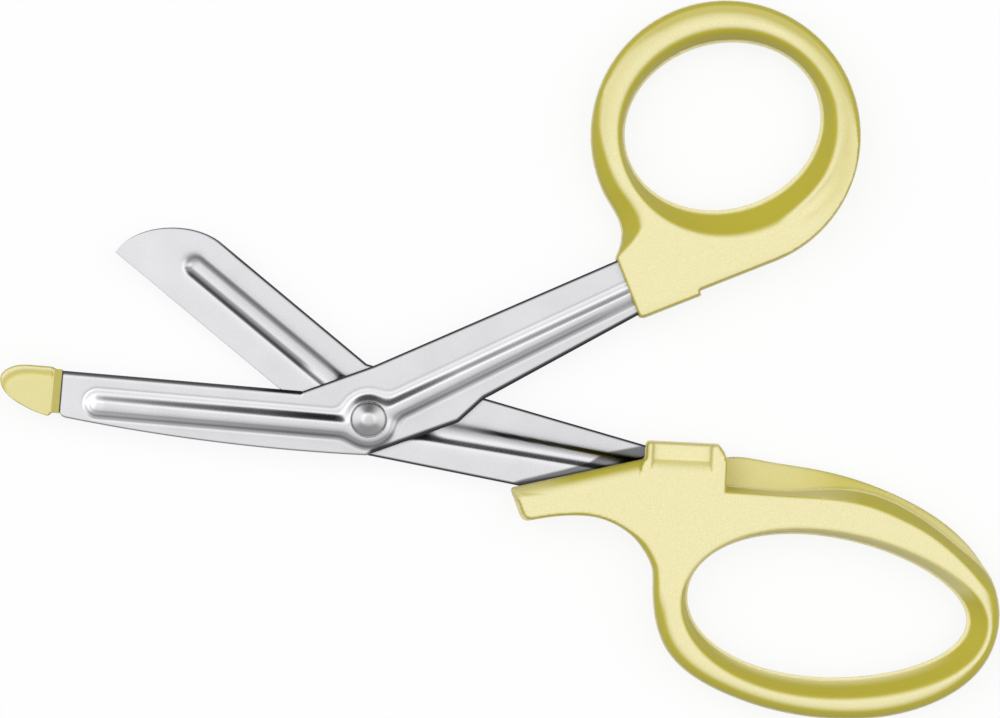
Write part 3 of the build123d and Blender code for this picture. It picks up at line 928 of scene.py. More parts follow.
def blade(node, body, tilt, columns, upper, lower, upper_rows, lower_rows, middle_rows, height, bore):
    """A blade of sheet steel, as a grid between its upper and lower outlines.

    Both outlines are functions of one number along the arm. A column joins them at that number: its rows
    lie at fixed distances from both outlines, and evenly in between. height gives the two
    faces' heights and the edge mask of painted shade and dark reflections there. The cells inside the
    bore are left out, and the points round it are moved onto its circle.
    """
    tops = np.stack([np.interp(columns, upper[0], upper[k]) for k in (1, 2)], axis=1)
    feet = np.stack([np.interp(columns, lower[0], lower[k]) for k in (1, 2)], axis=1)
    length = np.linalg.norm(feet - tops, axis=1)[:, None]
    upper_fit = np.minimum(1, row_share * length / upper_rows[-1])
    lower_fit = np.minimum(1, row_share * length / lower_rows[-1])
    from_top = np.array(upper_rows)[None] * upper_fit
    from_foot = length - np.array(lower_rows)[::-1][None] * lower_fit
    share = np.linspace(0, 1, middle_rows + 2)[None, 1:-1]
    middle = from_top[:, -1:] + (from_foot[:, :1] - from_top[:, -1:]) * share
    down = np.concatenate([from_top, middle, from_foot], axis=1)
    way = (feet - tops) / length
    x = tops[:, :1] + way[:, :1] * down
    y = tops[:, 1:] + way[:, 1:] * down
    radius = np.hypot(x, y)
    inside = radius < bore
    keep = ~(inside[1:, 1:] & inside[:-1, 1:] & inside[1:, :-1] & inside[:-1, :-1])
    gone = np.zeros(x.shape, int)
    for i in (0, 1):
        for j in (0, 1):
            gone[i:i + keep.shape[0], j:j + keep.shape[1]] += keep
    rim = inside & (gone > 0)
    x = np.where(rim, x * bore / np.maximum(radius, 1e-9), x)
    y = np.where(rim, y * bore / np.maximum(radius, 1e-9), y)
    high, low, dark = height(x, y, columns[:, None], down, length - down)
    upper_quads, lower_quads, walls = sheet_faces(keep)
    faces = np.concatenate([upper_quads, lower_quads, walls])
    along, across = tops[1] - tops[0], (feet - tops)[0]
    if along[0] * across[1] - along[1] * across[0] < 0:
        faces = faces[:, ::-1]
    row_x, row_y = turned(x, y, tilt)
    points = np.concatenate([
        np.stack([row_x, row_y, high], axis=-1).reshape(-1, 3),
        np.stack([row_x, row_y, low], axis=-1).reshape(-1, 3),
    ])
    used, inverse = np.unique(faces, return_inverse=True)
    faces = inverse.reshape(faces.shape)
    piece = new_piece(node, "sheet", points[used], faces, body)
    piece.data.set_sharp_from_angle(angle=sharp_angle)
    # The edge mask carries the painted shade, dark reflections and shadow on the steel's faces
    add_mask(piece, "edge", np.concatenate([dark.ravel(), dark.ravel()])[used])
    return piece


def front_back_line(x):
    """The front blade's back at x along the cutting edge: a shallow bow with a rounded tip corner."""
    share = (x + front_reach) / front_reach
    bow = 4 * front_belly * share * (1 - share)
    line = -(front_back_end + (front_back - front_back_end) * share) - bow
    short = np.maximum(front_tip_corner - front_reach - x, 0)
    return line + front_tip_corner - np.sqrt(np.maximum(front_tip_corner ** 2 - short ** 2, 0))


def front_outlines():
    """The front blade's two long sides, as rows of number, x and y in the thumb arm's frame."""
    step = corner_step
    tang_start = shank_reach + collar
    tang_end = tang_start + tang_length
    tongue_end = front_reach + tongue_length
    upper = [
        (-tongue_end, *swung(-tongue_end, tongue_rise + tongue_half, front_angle)),
        (-front_reach - step, *swung(-front_reach, tongue_rise + tongue_half, front_angle)),
        (-front_reach + step, *swung(-front_reach, front_edge, front_angle)),
        (-front_heel, *swung(-front_heel, front_edge, front_angle)),
        (front_throat[0], *front_throat),
        (tang_start, tang_start, front_top_far),
        (tang_start + step, tang_start, tang_top),
        (tang_end, tang_end, tang_top),
    ]
    corner = -front_reach + front_tip_corner * (1 - np.cos(np.linspace(0, pi / 2, 8)))
    run = np.concatenate([corner, np.linspace(corner[-1], 0, 24)[1:]])
    back_x, back_y = swung(run, front_back_line(run), front_angle)
    lower = [
        (-tongue_end, *swung(-tongue_end, tongue_rise - tongue_half, front_angle)),
        (-front_reach - step, *swung(-front_reach, tongue_rise - tongue_half, front_angle)),
        *zip(run, back_x, back_y),
        (front_cheek_start[0], *front_cheek_start),
        (front_cheek_end[0], *front_cheek_end),
        (front_foot_start[0], *front_foot_start),
        (tang_start, tang_start, front_foot_far),
        (tang_start + step, tang_start, tang_foot),
        (tang_end, tang_end, tang_foot),
    ]
    return np.array(upper).T, np.array(lower).T


def rear_outlines():
    """The rear blade's two long sides, as rows of number, x and y in the finger arm's frame."""
    nose = hermite((-rear_reach, rear_edge + rear_tip_height), (rear_nose_length - rear_reach, rear_back),
                   (0, rear_nose_pull), (rear_nose_pull, 0), rear_nose_points)
    nose_x, nose_y = swung(nose[:, 0], nose[:, 1], rear_angle)
    upper = [
        *zip(nose[:, 0], nose_x, nose_y),
        (-rear_back_end, *swung(-rear_back_end, rear_back, rear_angle)),
        (rear_shank_reach, rear_shank_reach, rear_top_far),
        (rear_shank_reach + corner_step, rear_shank_reach, rear_tang_top),
        (rear_tang_reach, rear_tang_reach, rear_tang_top),
    ]
    lower = [
        (-rear_reach, *swung(-rear_reach, rear_edge, rear_angle)),
        (rear_heel, *swung(rear_heel, rear_edge, rear_angle)),
        (rear_foot_reach, rear_foot_reach, rear_foot_far),
        (rear_tang_reach, rear_tang_reach, rear_foot_far),
    ]
    return np.array(upper).T, np.array(lower).T


front_bead = {
    "tip": swung(-front_bead_reach, -front_bead_drop, front_angle),
    "foot": swung(0, -front_bead_drop, front_angle),
    "shank": (shank_reach + collar, front_bead_rise),
    "tilt": thumb_tilt,
    "hump": 1.0,
}
rear_bead = {
    "tip": swung(-rear_bead_reach, rear_bead_rise, rear_angle),
    "foot": swung(0, rear_bead_rise, rear_angle),
    "shank": (rear_shank_reach, rear_bead_end),
    "tilt": finger_tilt,
    "hump": 0.0,
}


def round_over(gap, radius):
    """How far a rim of that radius has dropped, at a distance from the edge. It stops short of upright."""
    inward = np.clip(1 - gap / radius, 0, 1)
    return radius * (1 - np.sqrt(1 - inward ** 2 * round_share))


# The front bead's press along the blade, as shares of its height, and the crease round its foot
press_places = np.array([-53.5, -49, -30, -12, 6, 18, 60]) * MM
press_shares = np.array([0.34, 0.6, 0.78, 1.0, 1.0, 0.72, 0.66])
crease_depth = 0.05 * MM
crease_reach = 0.45 * MM
crease_half = 0.22 * MM

# The rims' rounding, where the cutting bevels start and end, and the teeth's reach in from the edge
round_share = 0.98
bevel_start = 0.1 * MM
bevel_end = 0.2 * MM
tooth_reach = (0.7 * MM, 1.15 * MM)

# Painted dark reflections along the beads' flanks: how far in from the outline, the half widths between
# which they fade, and the places along the arm between which they begin or end
front_band = (1.25 * MM, (0.65 * MM, 0.35 * MM), (-20 * MM, -9 * MM), (-4.2 * MM, -5.5 * MM))
rear_line = (0.35 * MM, (0.55 * MM, 0.3 * MM), (16 * MM, 24 * MM))
rear_flank = (0.75 * MM, (0.9 * MM, 0.4 * MM), (-13 * MM, -17 * MM))
front_band_tone = 0.7
rear_flank_tone = 0.72
rear_flank_side = (0.6, 0.35)

# Two fine painted dark reflections along the front bead's lower side: how far in, half width and tone
twin_lines = ((0.2 * MM, 0.2 * MM, 1.0), (1.0 * MM, 0.18 * MM, 0.8))
twin_tone = 0.42
twin_side = (0.6, 0.3)
twin_end = (50 * MM, 44 * MM)

# The dark line where the guard meets the front blade
guard_line = (0.3 * MM, 0.1 * MM)

# The painted shadow on the rear shank where it enters the handle: its width along it, its tone and its
# fades
patch_places = np.array([26.5, 29.4, 33.7, 38.0, 40.6, 43.4, 52.0]) * MM
patch_widths = np.array([0.3, 0.9, 1.2, 1.45, 1.6, 2.8, 2.4]) * MM
patch_tone = 0.8
patch_near = (0.6 * MM, 0.3 * MM)
patch_fade = (0.2 * MM, -0.25 * MM)
patch_start = (25 * MM, 27 * MM)

# The painted shade along the sheared edges: the shares of their widths between which it fades, and for each
# line its places along the arm and its widths and darkness there
edge_fade = (1.35, 0.75)
front_top_line = (
    np.array([-front_reach, -front_heel - 0.5 * MM, -front_heel, 60 * MM]),
    np.array([0.62, 0.66, 0.45, 0.45]) * MM,
    np.array([1.0, 1.0, 1.0, 1.0]),
)
front_foot_line = (
    np.array([-front_reach, 0, 1 * MM, 60 * MM]),
    np.array([0.25, 0.25, 0.75, 0.6]) * MM,
    np.array([0.35, 0.4, 1.0, 1.0]),
)
rear_top_line = (
    np.array([-rear_reach, -45 * MM, -38 * MM, 60 * MM]),
    np.array([0.3, 0.3, 0.45, 0.4]) * MM,
    np.array([0.5, 0.75, 1.0, 1.0]),
)
rear_foot_line = (
    np.array([-rear_reach, 0, 3 * MM, 60 * MM]),
    np.array([0.1, 0.1, 0.4, 0.4]) * MM,
    np.array([0.0, 0.0, 1.0, 1.0]),
)


def edge_line(number, gap, line):
    """Painted shade along a sheared edge, at a distance from it: its line's darkness, fading at its width.
    """
    places, widths, shares = line
    width = np.interp(number, places, widths)
    return np.interp(number, places, shares) * ease(gap / width, *edge_fade)


def bead_dark_reflection(gap, number, middle, half, *ends):
    """A painted dark reflection along a bead, middle in from its outline, which fades at its half widths
    and its ends.
    """
    mark = ease(np.abs(gap + middle), *half)
    for end in ends:
        mark = mark * ease(number, *end)
    return mark


def front_height(x, y, number, from_top, from_foot):
    """The front blade's faces: flat steel with the bead, rounded rims and the serrated bevel."""
    settings = bpy.context.scene.blade_settings
    press = settings.bead_height * np.interp(number, press_places, press_shares)
    rise, gap, side = bead_rise(x, y, front_bead, 0)
    crease = crease_depth * np.exp(-((gap - crease_reach) / crease_half) ** 2)
    hollow = bead_rise(x, y, front_bead, bead_draw)[0] * press
    rise = rise * press - crease
    rim = round_over(np.minimum(from_top, from_foot), settings.rim)
    cutting = ease(number, -front_reach - bevel_start, -front_reach + bevel_start)
    cutting = cutting * (1 - ease(number, -front_heel - bevel_end, -front_heel))
    ground = np.clip(1 - from_top / settings.bevel_width, 0, 1) * settings.bevel_depth * cutting
    tooth = np.abs((number / settings.tooth_pitch) % 1 * 2 - 1)
    flute = tooth * settings.tooth_depth * cutting * (1 - ease(from_top, *tooth_reach))
    high = front_high + rise - np.maximum(rim, ground) - flute
    band = bead_dark_reflection(gap, number, *front_band) * side
    twin = sum(tone * np.exp(-((gap + place) / half) ** 2) for place, half, tone in twin_lines)
    twin = twin * ease(side, *twin_side) * ease(number, *twin_end)
    # dark is the edge mask: painted shade along the sheared edges, the dark line at the guard, and painted
    # dark reflections along the bead
    dark = np.maximum.reduce([
        edge_line(number, from_top, front_top_line),
        edge_line(number, from_foot, front_foot_line),
        ease(guard_line[0] - np.abs(number + front_reach), 0, guard_line[1]) + 0 * gap,
        front_band_tone * band,
        twin_tone * twin,
    ])
    return high, front_low + hollow, dark


def slant_shadow_patch(number, y):
    """Painted shadow on the rear shank where it enters the handle, along the handle's slant."""
    lean = (finger_stop - finger_stop_depth - nose_top[1]) / (finger_stop_start - nose_top[0])
    over = (y - nose_top[1] - lean * (number - nose_top[0])) / np.hypot(1, lean)
    width = np.interp(number, patch_places, patch_widths, left=0)
    tone = patch_tone + (1 - patch_tone) * ease(over, *patch_near)
    return tone * ease(over - width, *patch_fade) * ease(number, *patch_start)


def rear_height(x, y, number, from_top, from_foot):
    """The rear blade's faces: the bead is pressed away from the viewer, and the bevel is behind."""
    settings = bpy.context.scene.blade_settings
    drop, gap, side = bead_rise(x, y, rear_bead, bead_draw)
    drop = drop * settings.bead_height
    bulge = bead_rise(x, y, rear_bead, 0)[0] * settings.bead_height
    rim = round_over(from_top, settings.rim) + round_over(from_foot, settings.rim / 2)
    cutting = 1 - ease(number, rear_heel - bevel_end, rear_heel)
    ground = np.clip(1 - from_foot / settings.bevel_width, 0, 1) * settings.bevel_depth * cutting
    flank = bead_dark_reflection(gap, number, *rear_flank) * ease(side, *rear_flank_side)
    # dark is the edge mask: painted shade along the sheared edges, painted dark reflections along the
    # groove, and painted shadow where the shank enters the handle
    dark = np.maximum.reduce([
        edge_line(number, from_top, rear_top_line),
        edge_line(number, from_foot, rear_foot_line),
        bead_dark_reflection(gap, number, *rear_line) * side,
        rear_flank_tone * flank,
        slant_shadow_patch(number, y),
    ])
    return rear_high - drop - rim, rear_low - bulge + ground, dark


# Materials

# The grain: the share of its coarse noise, and the values that its tones run between
coarse_share = 0.4
grain_range = (0.3, 0.7)

# The finishes: the grain's fine and coarse scales, its range of tone and of roughness, and its bump's
# strength and distance
steel_finish = {
    "scales": (6000.0, 130.0), "tone": (0.93, 1.06), "roughness": (0.24, 0.3), "bump": (0.05, 0.004 * MM),
}
rivet_finish = {"scales": (2600.0, 420.0), "tone": (0.95, 1.03), "roughness": (0.26, 0.32)}
plastic_finish = {
    "scales": (6500.0, 3800.0), "tone": (0.87, 1.08), "roughness": (0.34, 0.44), "bump": (0.3, 0.03 * MM),
}
plastic_gloss = 0.25


def make_shader(name):
    """A new material, with its nodes, its links and its Principled shader."""
    material = bpy.data.materials.new(name)
    material.use_nodes = True
    nodes = material.node_tree.nodes
    return material, nodes, material.node_tree.links, nodes["Principled BSDF"]


def grain_group():
    """Fine grain: two scales of noise mixed, as a value about 0.5."""
    group = bpy.data.node_groups.get("Grain")
    if group:
        return group
    group = bpy.data.node_groups.new("Grain", "ShaderNodeTree")
    interface = group.interface
    interface.new_socket("Scale", in_out="INPUT", socket_type="NodeSocketFloat")
    interface.new_socket("Coarse", in_out="INPUT", socket_type="NodeSocketFloat")
    interface.new_socket("Value", in_out="OUTPUT", socket_type="NodeSocketFloat")
    nodes, links = group.nodes, group.links
    entry = nodes.new("NodeGroupInput")
    leave = nodes.new("NodeGroupOutput")
    place = nodes.new("ShaderNodeTexCoord")
    mix = nodes.new("ShaderNodeMix")
    mix.inputs[0].default_value = coarse_share
    for scale, socket in (("Scale", mix.inputs[2]), ("Coarse", mix.inputs[3])):
        noise = nodes.new("ShaderNodeTexNoise")
        noise.inputs["Detail"].default_value = 2
        links.new(place.outputs["Object"], noise.inputs["Vector"])
        links.new(entry.outputs[scale], noise.inputs["Scale"])
        links.new(noise.outputs[0], socket)
    links.new(mix.outputs[0], leave.inputs["Value"])
    return group


def add_grain(nodes, scale, coarse):
    """A grain group's value in a material, at its two scales."""
    node = nodes.new("ShaderNodeGroup")
    node.node_tree = grain_group()
    node.inputs["Scale"].default_value = scale
    node.inputs["Coarse"].default_value = coarse
    return node.outputs[0]


def ramp(nodes, links, value, low, high):
    """Maps the grain's value about 0.5 onto a plain range."""
    node = nodes.new("ShaderNodeMapRange")
    for socket, amount in zip(("From Min", "From Max", "To Min", "To Max"), (*grain_range, low, high)):
        node.inputs[socket].default_value = amount
    links.new(value, node.inputs["Value"])
    return node.outputs[0]


def feed(links, socket, value):
    """Gives an input a link from another node, or a plain number or colour."""
    if isinstance(value, bpy.types.NodeSocket):
        links.new(value, socket)
    elif isinstance(value, float):
        socket.default_value = value
    else:
        socket.default_value = (*value, 1)


def colour_mix(nodes, links, blend, factor, first, second):
    """A colour mix node: factor and colours are sockets or plain values."""
    node = nodes.new("ShaderNodeMix")
    node.data_type = "RGBA"
    node.blend_type = blend
    for socket, value in ((node.inputs[0], factor), (node.inputs[6], first), (node.inputs[7], second)):
        feed(links, socket, value)
    return node.outputs[2]


def arithmetic(nodes, links, operation, *values):
    """A math node on sockets or plain numbers."""
    node = nodes.new("ShaderNodeMath")
    node.operation = operation
    for socket, value in zip(node.inputs, values):
        feed(links, socket, value)
    return node.outputs[0]


def bump(nodes, links, height, strength, distance):
    """A bump node, whose normal is put out."""
    node = nodes.new("ShaderNodeBump")
    node.inputs["Strength"].default_value = strength
    node.inputs["Distance"].default_value = distance
    links.new(height, node.inputs["Height"])
    return node.outputs[0]


def grained(name, finish, colour):
    """A material whose colour and roughness follow the finish's grain.

    It gives the material, its nodes, links and shader, the grain's value and the grained colour.
    """
    material, nodes, links, shader = make_shader(name)
    grain = add_grain(nodes, *finish["scales"])
    tone = ramp(nodes, links, grain, *finish["tone"])
    toned = colour_mix(nodes, links, "MULTIPLY", 1.0, colour, tone)
    links.new(ramp(nodes, links, grain, *finish["roughness"]), shader.inputs["Roughness"])
    return material, nodes, links, shader, grain, toned


def masked(nodes, links, mask, colour, other):
    """The colour, mixed into the other by the piece's mask."""
    attribute = nodes.new("ShaderNodeAttribute")
    attribute.attribute_name = mask
    return colour_mix(nodes, links, "MIX", attribute.outputs["Fac"], colour, other)


def steel_material():
    """Satin stamped steel, with painted shade along its sheared edges, painted dark reflections in the
    beads' marks and painted shadow where the rear shank enters the handle.
    """
    settings = bpy.context.scene.blade_settings
    material, nodes, links, shader, grain, grey = grained("satin_steel", steel_finish, settings.colour)
    # The edge mask mixes in the dark colour of the painted shade and reflections
    colour = masked(nodes, links, "edge", grey, settings.edge_shade_colour)
    links.new(colour, shader.inputs["Base Color"])
    links.new(bump(nodes, links, grain, *steel_finish["bump"]), shader.inputs["Normal"])
    shader.inputs["Metallic"].default_value = 1
    return material


def rivet_material():
    """The rivet's smoother steel."""
    settings = bpy.context.scene.blade_settings
    colour = settings.rivet_colour
    material, nodes, links, shader, grain, grey = grained("smooth_steel", rivet_finish, colour)
    links.new(grey, shader.inputs["Base Color"])
    shader.inputs["Metallic"].default_value = 1
    return material


def plastic_material():
    """Pale yellow plastic with a fine grain, and painted shade in a deeper colour on its walls."""
    settings = bpy.context.scene.handle_settings
    colour = settings.face_colour
    material, nodes, links, shader, grain, face = grained("moulded_plastic", plastic_finish, colour)
    # The wall mask mixes in the deeper colour of the painted shade
    colour = masked(nodes, links, "wall", face, settings.wall_shade_colour)
    links.new(colour, shader.inputs["Base Color"])
    links.new(bump(nodes, links, grain, *plastic_finish["bump"]), shader.inputs["Normal"])
    shader.inputs["Specular IOR Level"].default_value = plastic_gloss
    return material


def shared_material(name, maker):
    """The material of that name, made on first use."""
    return bpy.data.materials.get(name) or maker()


# Settings

def length_setting(name, description, millimetres):
    """A length as a setting."""
    return bpy.props.FloatProperty(
        name=name, description=description, default=millimetres * MM, unit="LENGTH")


def colour_setting(name, description, default):
    """A colour as a setting."""
    return bpy.props.FloatVectorProperty(
        name=name, description=description, default=default, subtype="COLOR")


class BladeSettings(bpy.types.PropertyGroup):
    """Sizes and finish of the blades and the rivet."""

    bead_width: length_setting("Bead width", "Width of the pressed beads", 4.8)
    bead_height: length_setting("Bead height", "How far the beads stand out", 0.95)
    rim: length_setting("Rim", "Rounding of the sheared edges", 0.3)
    bevel_width: length_setting("Bevel width", "Width of the ground bevel", 0.6)
    bevel_depth: length_setting("Bevel depth", "Depth of the bevel at the edge", 1.0)
    tooth_pitch: length_setting("Tooth pitch", "Spacing of the fine teeth", 0.32)
    tooth_depth: length_setting("Tooth depth", "Depth of the fine teeth", 0.06)
    colour: colour_setting("Steel", "Colour of the steel", (0.61, 0.61, 0.63))
    rivet_colour: colour_setting("Rivet", "Colour of the rivet", (0.55, 0.55, 0.56))
    # The colour of the painted shade, dark reflections and shadow on the steel
    edge_shade_colour: colour_setting("Edge", "Colour of the sheared edges", (0.05, 0.05, 0.055))


class HandleSettings(bpy.types.PropertyGroup):
    """Sizes and finish of the moulded pieces."""

    cell: length_setting("Cell", "Mesh spacing of the handles", 0.3)
    guard_cell: length_setting("Guard cell", "Mesh spacing of the tip guard", 0.14)
    face_colour: colour_setting("Faces", "Colour of the grained faces", (0.90, 0.828, 0.46))
    # The deeper colour of the painted shade on the steep walls
    wall_shade_colour: colour_setting("Walls", "Colour of the deeper walls", (0.555, 0.487, 0.056))


class StageSettings(bpy.types.PropertyGroup):
    """The floor, the light and the camera."""

    zenith: bpy.props.FloatProperty(
        name="Overhead", description="Brightness of the light overhead", default=1.18)
    horizon: bpy.props.FloatProperty(
        name="Horizon", description="Brightness at the horizon", default=0.3)
    key: bpy.props.FloatProperty(
        name="Left box", description="Power of the left soft box, in watts", default=5.8)
    fill: bpy.props.FloatProperty(
        name="Right box", description="Power of the right soft box, in watts", default=3.5)
    lens: bpy.props.FloatProperty(
        name="Lens", description="Focal length in millimetres", default=200.0)


# Operators

class MakeFrontBlade(bpy.types.Operator):
    """Builds the front blade with its bead, boss and serrated edge"""

    bl_idname = "scissors.front_blade"
    bl_label = "Front blade"

    def execute(self, context):
        settings = context.scene.blade_settings
        half_tooth = settings.tooth_pitch / 2
        tang_end = shank_reach + collar + tang_length
        teeth = np.arange(np.ceil(-front_reach / half_tooth) + 1, -front_heel / half_tooth) * half_tooth
        columns = np.unique(np.concatenate([
            np.linspace(-front_reach - tongue_length, -front_reach - corner_step, 6),
            [-front_reach + corner_step, -front_reach + bevel_start],
            teeth,
            np.linspace(-front_heel, front_fine_end, 80),
            np.linspace(front_fine_end, shank_reach + collar, 130),
            np.linspace(shank_reach + collar + corner_step, tang_end, 12),
        ]))
        upper, lower = front_outlines()
        rim = settings.rim
        upper_rows = [0, rim / 3, rim * 2 / 3, rim, settings.bevel_width, *tooth_rows]
        lower_rows = [0, rim / 3, rim * 2 / 3, rim]
        piece = blade("front_blade", "thumb_arm", thumb_tilt, columns, upper, lower,
                      upper_rows, lower_rows, front_rows, front_height, shaft_radius)
        piece.data.materials.append(shared_material("satin_steel", steel_material))
        return {"FINISHED"}


class MakeRearBlade(bpy.types.Operator):
    """Builds the rear blade, whose bead is pressed away from the viewer"""

    bl_idname = "scissors.rear_blade"
    bl_label = "Rear blade"

    def execute(self, context):
        settings = context.scene.blade_settings
        upper, lower = rear_outlines()
        columns = np.unique(np.concatenate([
            upper[0][:rear_nose_points],
            np.linspace(rear_nose_length - rear_reach, -rear_back_end, 90),
            np.linspace(-rear_back_end, rear_fine_end, 80),
            np.linspace(rear_fine_end, rear_shank_reach, 110),
            np.linspace(rear_shank_reach + corner_step, rear_tang_reach, 12),
        ]))
        rim = settings.rim
        upper_rows = [0, rim / 3, rim * 2 / 3, rim]
        lower_rows = [0, rim / 4, rim / 2, rim, settings.bevel_width]
        piece = blade("rear_blade", "finger_arm", finger_tilt, columns, upper, lower,
                      upper_rows, lower_rows, rear_rows, rear_height, shaft_radius + rivet_clearance)
        piece.data.materials.append(shared_material("satin_steel", steel_material))
        return {"FINISHED"}


class MakeRivet(bpy.types.Operator):
    """Builds the rivet: a profile carried round the pivot's axis"""

    bl_idname = "scissors.rivet"
    bl_label = "Rivet"

    def execute(self, context):
        seat = front_high + context.scene.blade_settings.bead_height
        tail_seat = rear_low - context.scene.blade_settings.bead_height - tail_clearance
        reach = np.linspace(0, head_radius, 30)
        slope = dome_middle_slope + ease(reach, *dome_shoulder)
        slope = slope + dome_rim_slope * ease(reach, dome_rim_start, head_radius)
        drop = np.concatenate([[0], np.cumsum((slope[1:] + slope[:-1]) / 2)])
        dome = np.stack([reach, seat + head_height * (1 - drop / drop[-1])], axis=1)[1:]
        rest = np.array([
            (shaft_radius, seat), (shaft_radius, tail_seat), (tail_radius, tail_seat),
            (tail_radius, tail_seat - tail_rim), (tail_flat, 0),
        ])
        profile = np.concatenate([dome, rest])
        sides = 96
        angle = np.linspace(0, 2 * pi, sides, endpoint=False)[:, None]
        points = np.stack([
            profile[:, 0] * np.cos(angle),
            profile[:, 0] * np.sin(angle),
            profile[:, 1] + 0 * angle,
        ], axis=-1).reshape(-1, 3)
        points = np.concatenate([points, [(0, 0, seat + head_height), (0, 0, 0)]])
        count = len(profile)
        index = np.arange(sides * count).reshape(sides, count)
        after = np.roll(index, -1, axis=0)
        walls = np.stack([index[:, :-1], index[:, 1:], after[:, 1:], after[:, :-1]], axis=-1).reshape(-1, 4)
        top, foot = sides * count, sides * count + 1
        mesh_faces = [tuple(face) for face in walls]
        mesh_faces += [(top, a, b) for a, b in zip(index[:, 0], after[:, 0])]
        mesh_faces += [(foot, b, a) for a, b in zip(index[:, -1], after[:, -1])]
        mesh = bpy.data.meshes.new("pivot_rivet_turning")
        mesh.from_pydata(points.tolist(), [], mesh_faces)
        mesh.polygons.foreach_set("use_smooth", np.ones(len(mesh_faces), bool))
        mesh.set_sharp_from_angle(angle=sharp_angle)
        piece = bpy.data.objects.new("pivot_rivet_turning", mesh)
        context.scene.collection.objects.link(piece)
        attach(piece, "thumb_arm")
        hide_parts("pivot_rivet")
        mesh.materials.append(shared_material("smooth_steel", rivet_material))
        return {"FINISHED"}


class MakeTipGuard(bpy.types.Operator):
    """Builds the blunt guard on the front blade's tip"""

    bl_idname = "scissors.tip_guard"
    bl_label = "Tip guard"

    def execute(self, context):
        middle = (front_low + front_high) / 2
        low = (-front_reach - guard_length, guard_foot, middle - guard_thickness / 2)
        high = (-front_reach, guard_top, middle + guard_thickness / 2)
        piece = moulding("tip_guard", guard_field, guard_shade, low, high, thumb_tilt - front_angle,
                         context.scene.handle_settings.guard_cell, "thumb_arm")
        piece.data.materials.append(shared_material("moulded_plastic", plastic_material))
        return {"FINISHED"}


class MakeHandles(bpy.types.Operator):
    """Builds the thumb handle and the finger handle"""

    bl_idname = "scissors.handles"
    bl_label = "Handles"

    def execute(self, context):
        cell = context.scene.handle_settings.cell
        low = (shank_reach, thumb_stop, 0)
        high = (ring_x + ring_radius, ring_y + ring_radius, handle_thickness)
        thumb = moulding("thumb_handle", thumb_field, thumb_shade, low, high, thumb_tilt, cell,
                         "thumb_arm")
        low = (nose_top[0], loop_foot, 0)
        high = (loop_right, finger_stop, handle_thickness)
        finger = moulding("finger_handle", finger_field, finger_shade, low, high, finger_tilt, cell,
                          "finger_arm")
        for piece in (thumb, finger):
            piece.data.materials.append(shared_material("moulded_plastic", plastic_material))
        return {"FINISHED"}


# The stage: the floor's half side, the lamps' places and sizes in metres, the camera's sensor in
# millimetres, and the width and middle of the view at the joint's height
floor_reach = 3.0
left_box = ((-1.0, 0.3, 1.1), 1.7)
right_box = ((1.1, 0.1, 1.0), 1.5)
sensor_width = 36.0
view_width = 185.4 * MM
view_middle = (24.29 * MM, 11.18 * MM)

# The floor: its colour in the light, its colour for light that bounces, and the share of plain white
floor_light = (0.95, 0.95, 0.95)
floor_bounce = (0.4, 0.4, 0.4)
floor_white = 0.85

# The sky: the heights between which it brightens, and levels at places from -Y to +Y
sky_heights = (0.1, 0.95)
sky_levels = [
    (-1.0, 0.55), (-0.5, 0.6), (-0.15, 0.85), (0.0, 1.0),
    (0.12, 1.18), (0.6, 1.18), (0.76, 0.12), (1.0, 0.08),
]


class MakeStage(bpy.types.Operator):
    """Lays the floor and sets the light and the camera"""

    bl_idname = "scissors.stage"
    bl_label = "Stage"

    def execute(self, context):
        settings = context.scene.stage_settings
        corners = [(-floor_reach, -floor_reach, 0), (floor_reach, -floor_reach, 0),
                   (floor_reach, floor_reach, 0), (-floor_reach, floor_reach, 0)]
        mesh = bpy.data.meshes.new("floor")
        mesh.from_pydata(corners, [], [(0, 1, 2, 3)])
        floor = bpy.data.objects.new("floor", mesh)
        context.scene.collection.objects.link(floor)
        mesh.materials.append(floor_material())
        make_world(settings)
        add_lamp("left_box", *left_box, settings.key)
        add_lamp("right_box", *right_box, settings.fill)
        camera = bpy.data.cameras.new("camera")
        camera.lens = settings.lens
        camera.sensor_width = sensor_width
        seat = bpy.data.objects.new("camera", camera)
        context.scene.collection.objects.link(seat)
        distance = view_width / camera.sensor_width * camera.lens
        seat.location = (*view_middle, joint_height + distance)
        context.scene.camera = seat
        context.scene.view_settings.view_transform = "Standard"
        return {"FINISHED"}


def floor_material():
    """A pale floor: white to the eye and in reflections, with a part of the true light for the shadow."""
    material, nodes, links, bounce = make_shader("pale_floor")
    lit = nodes.new("ShaderNodeBsdfDiffuse")
    feed(links, lit.inputs["Color"], floor_light)
    feed(links, bounce.inputs["Base Color"], floor_bounce)
    bounce.inputs["Roughness"].default_value = 1
    bounce.inputs["Specular IOR Level"].default_value = 0
    glow = nodes.new("ShaderNodeEmission")
    path = nodes.new("ShaderNodeLightPath").outputs
    seen = arithmetic(nodes, links, "MAXIMUM", path["Is Camera Ray"], path["Is Glossy Ray"])
    seen = arithmetic(nodes, links, "MAXIMUM", seen, path["Is Transmission Ray"])
    white = shader_mix(nodes, links, floor_white, lit.outputs[0], glow.outputs[0])
    pick = shader_mix(nodes, links, seen, bounce.outputs[0], white)
    links.new(pick, nodes["Material Output"].inputs["Surface"])
    return material


def shader_mix(nodes, links, factor, first, second):
    """A mix of two shaders by a socket or a plain number."""
    node = nodes.new("ShaderNodeMixShader")
    feed(links, node.inputs[0], factor)
    links.new(first, node.inputs[1])
    links.new(second, node.inputs[2])
    return node.outputs[0]


def map_range(nodes, links, value, from_range, to_range):
    """A smooth step of a value from one range onto another."""
    node = nodes.new("ShaderNodeMapRange")
    node.interpolation_type = "SMOOTHSTEP"
    for socket, amount in zip(("From Min", "From Max", "To Min", "To Max"), (*from_range, *to_range)):
        node.inputs[socket].default_value = amount
    links.new(value, node.inputs["Value"])
    return node.outputs[0]


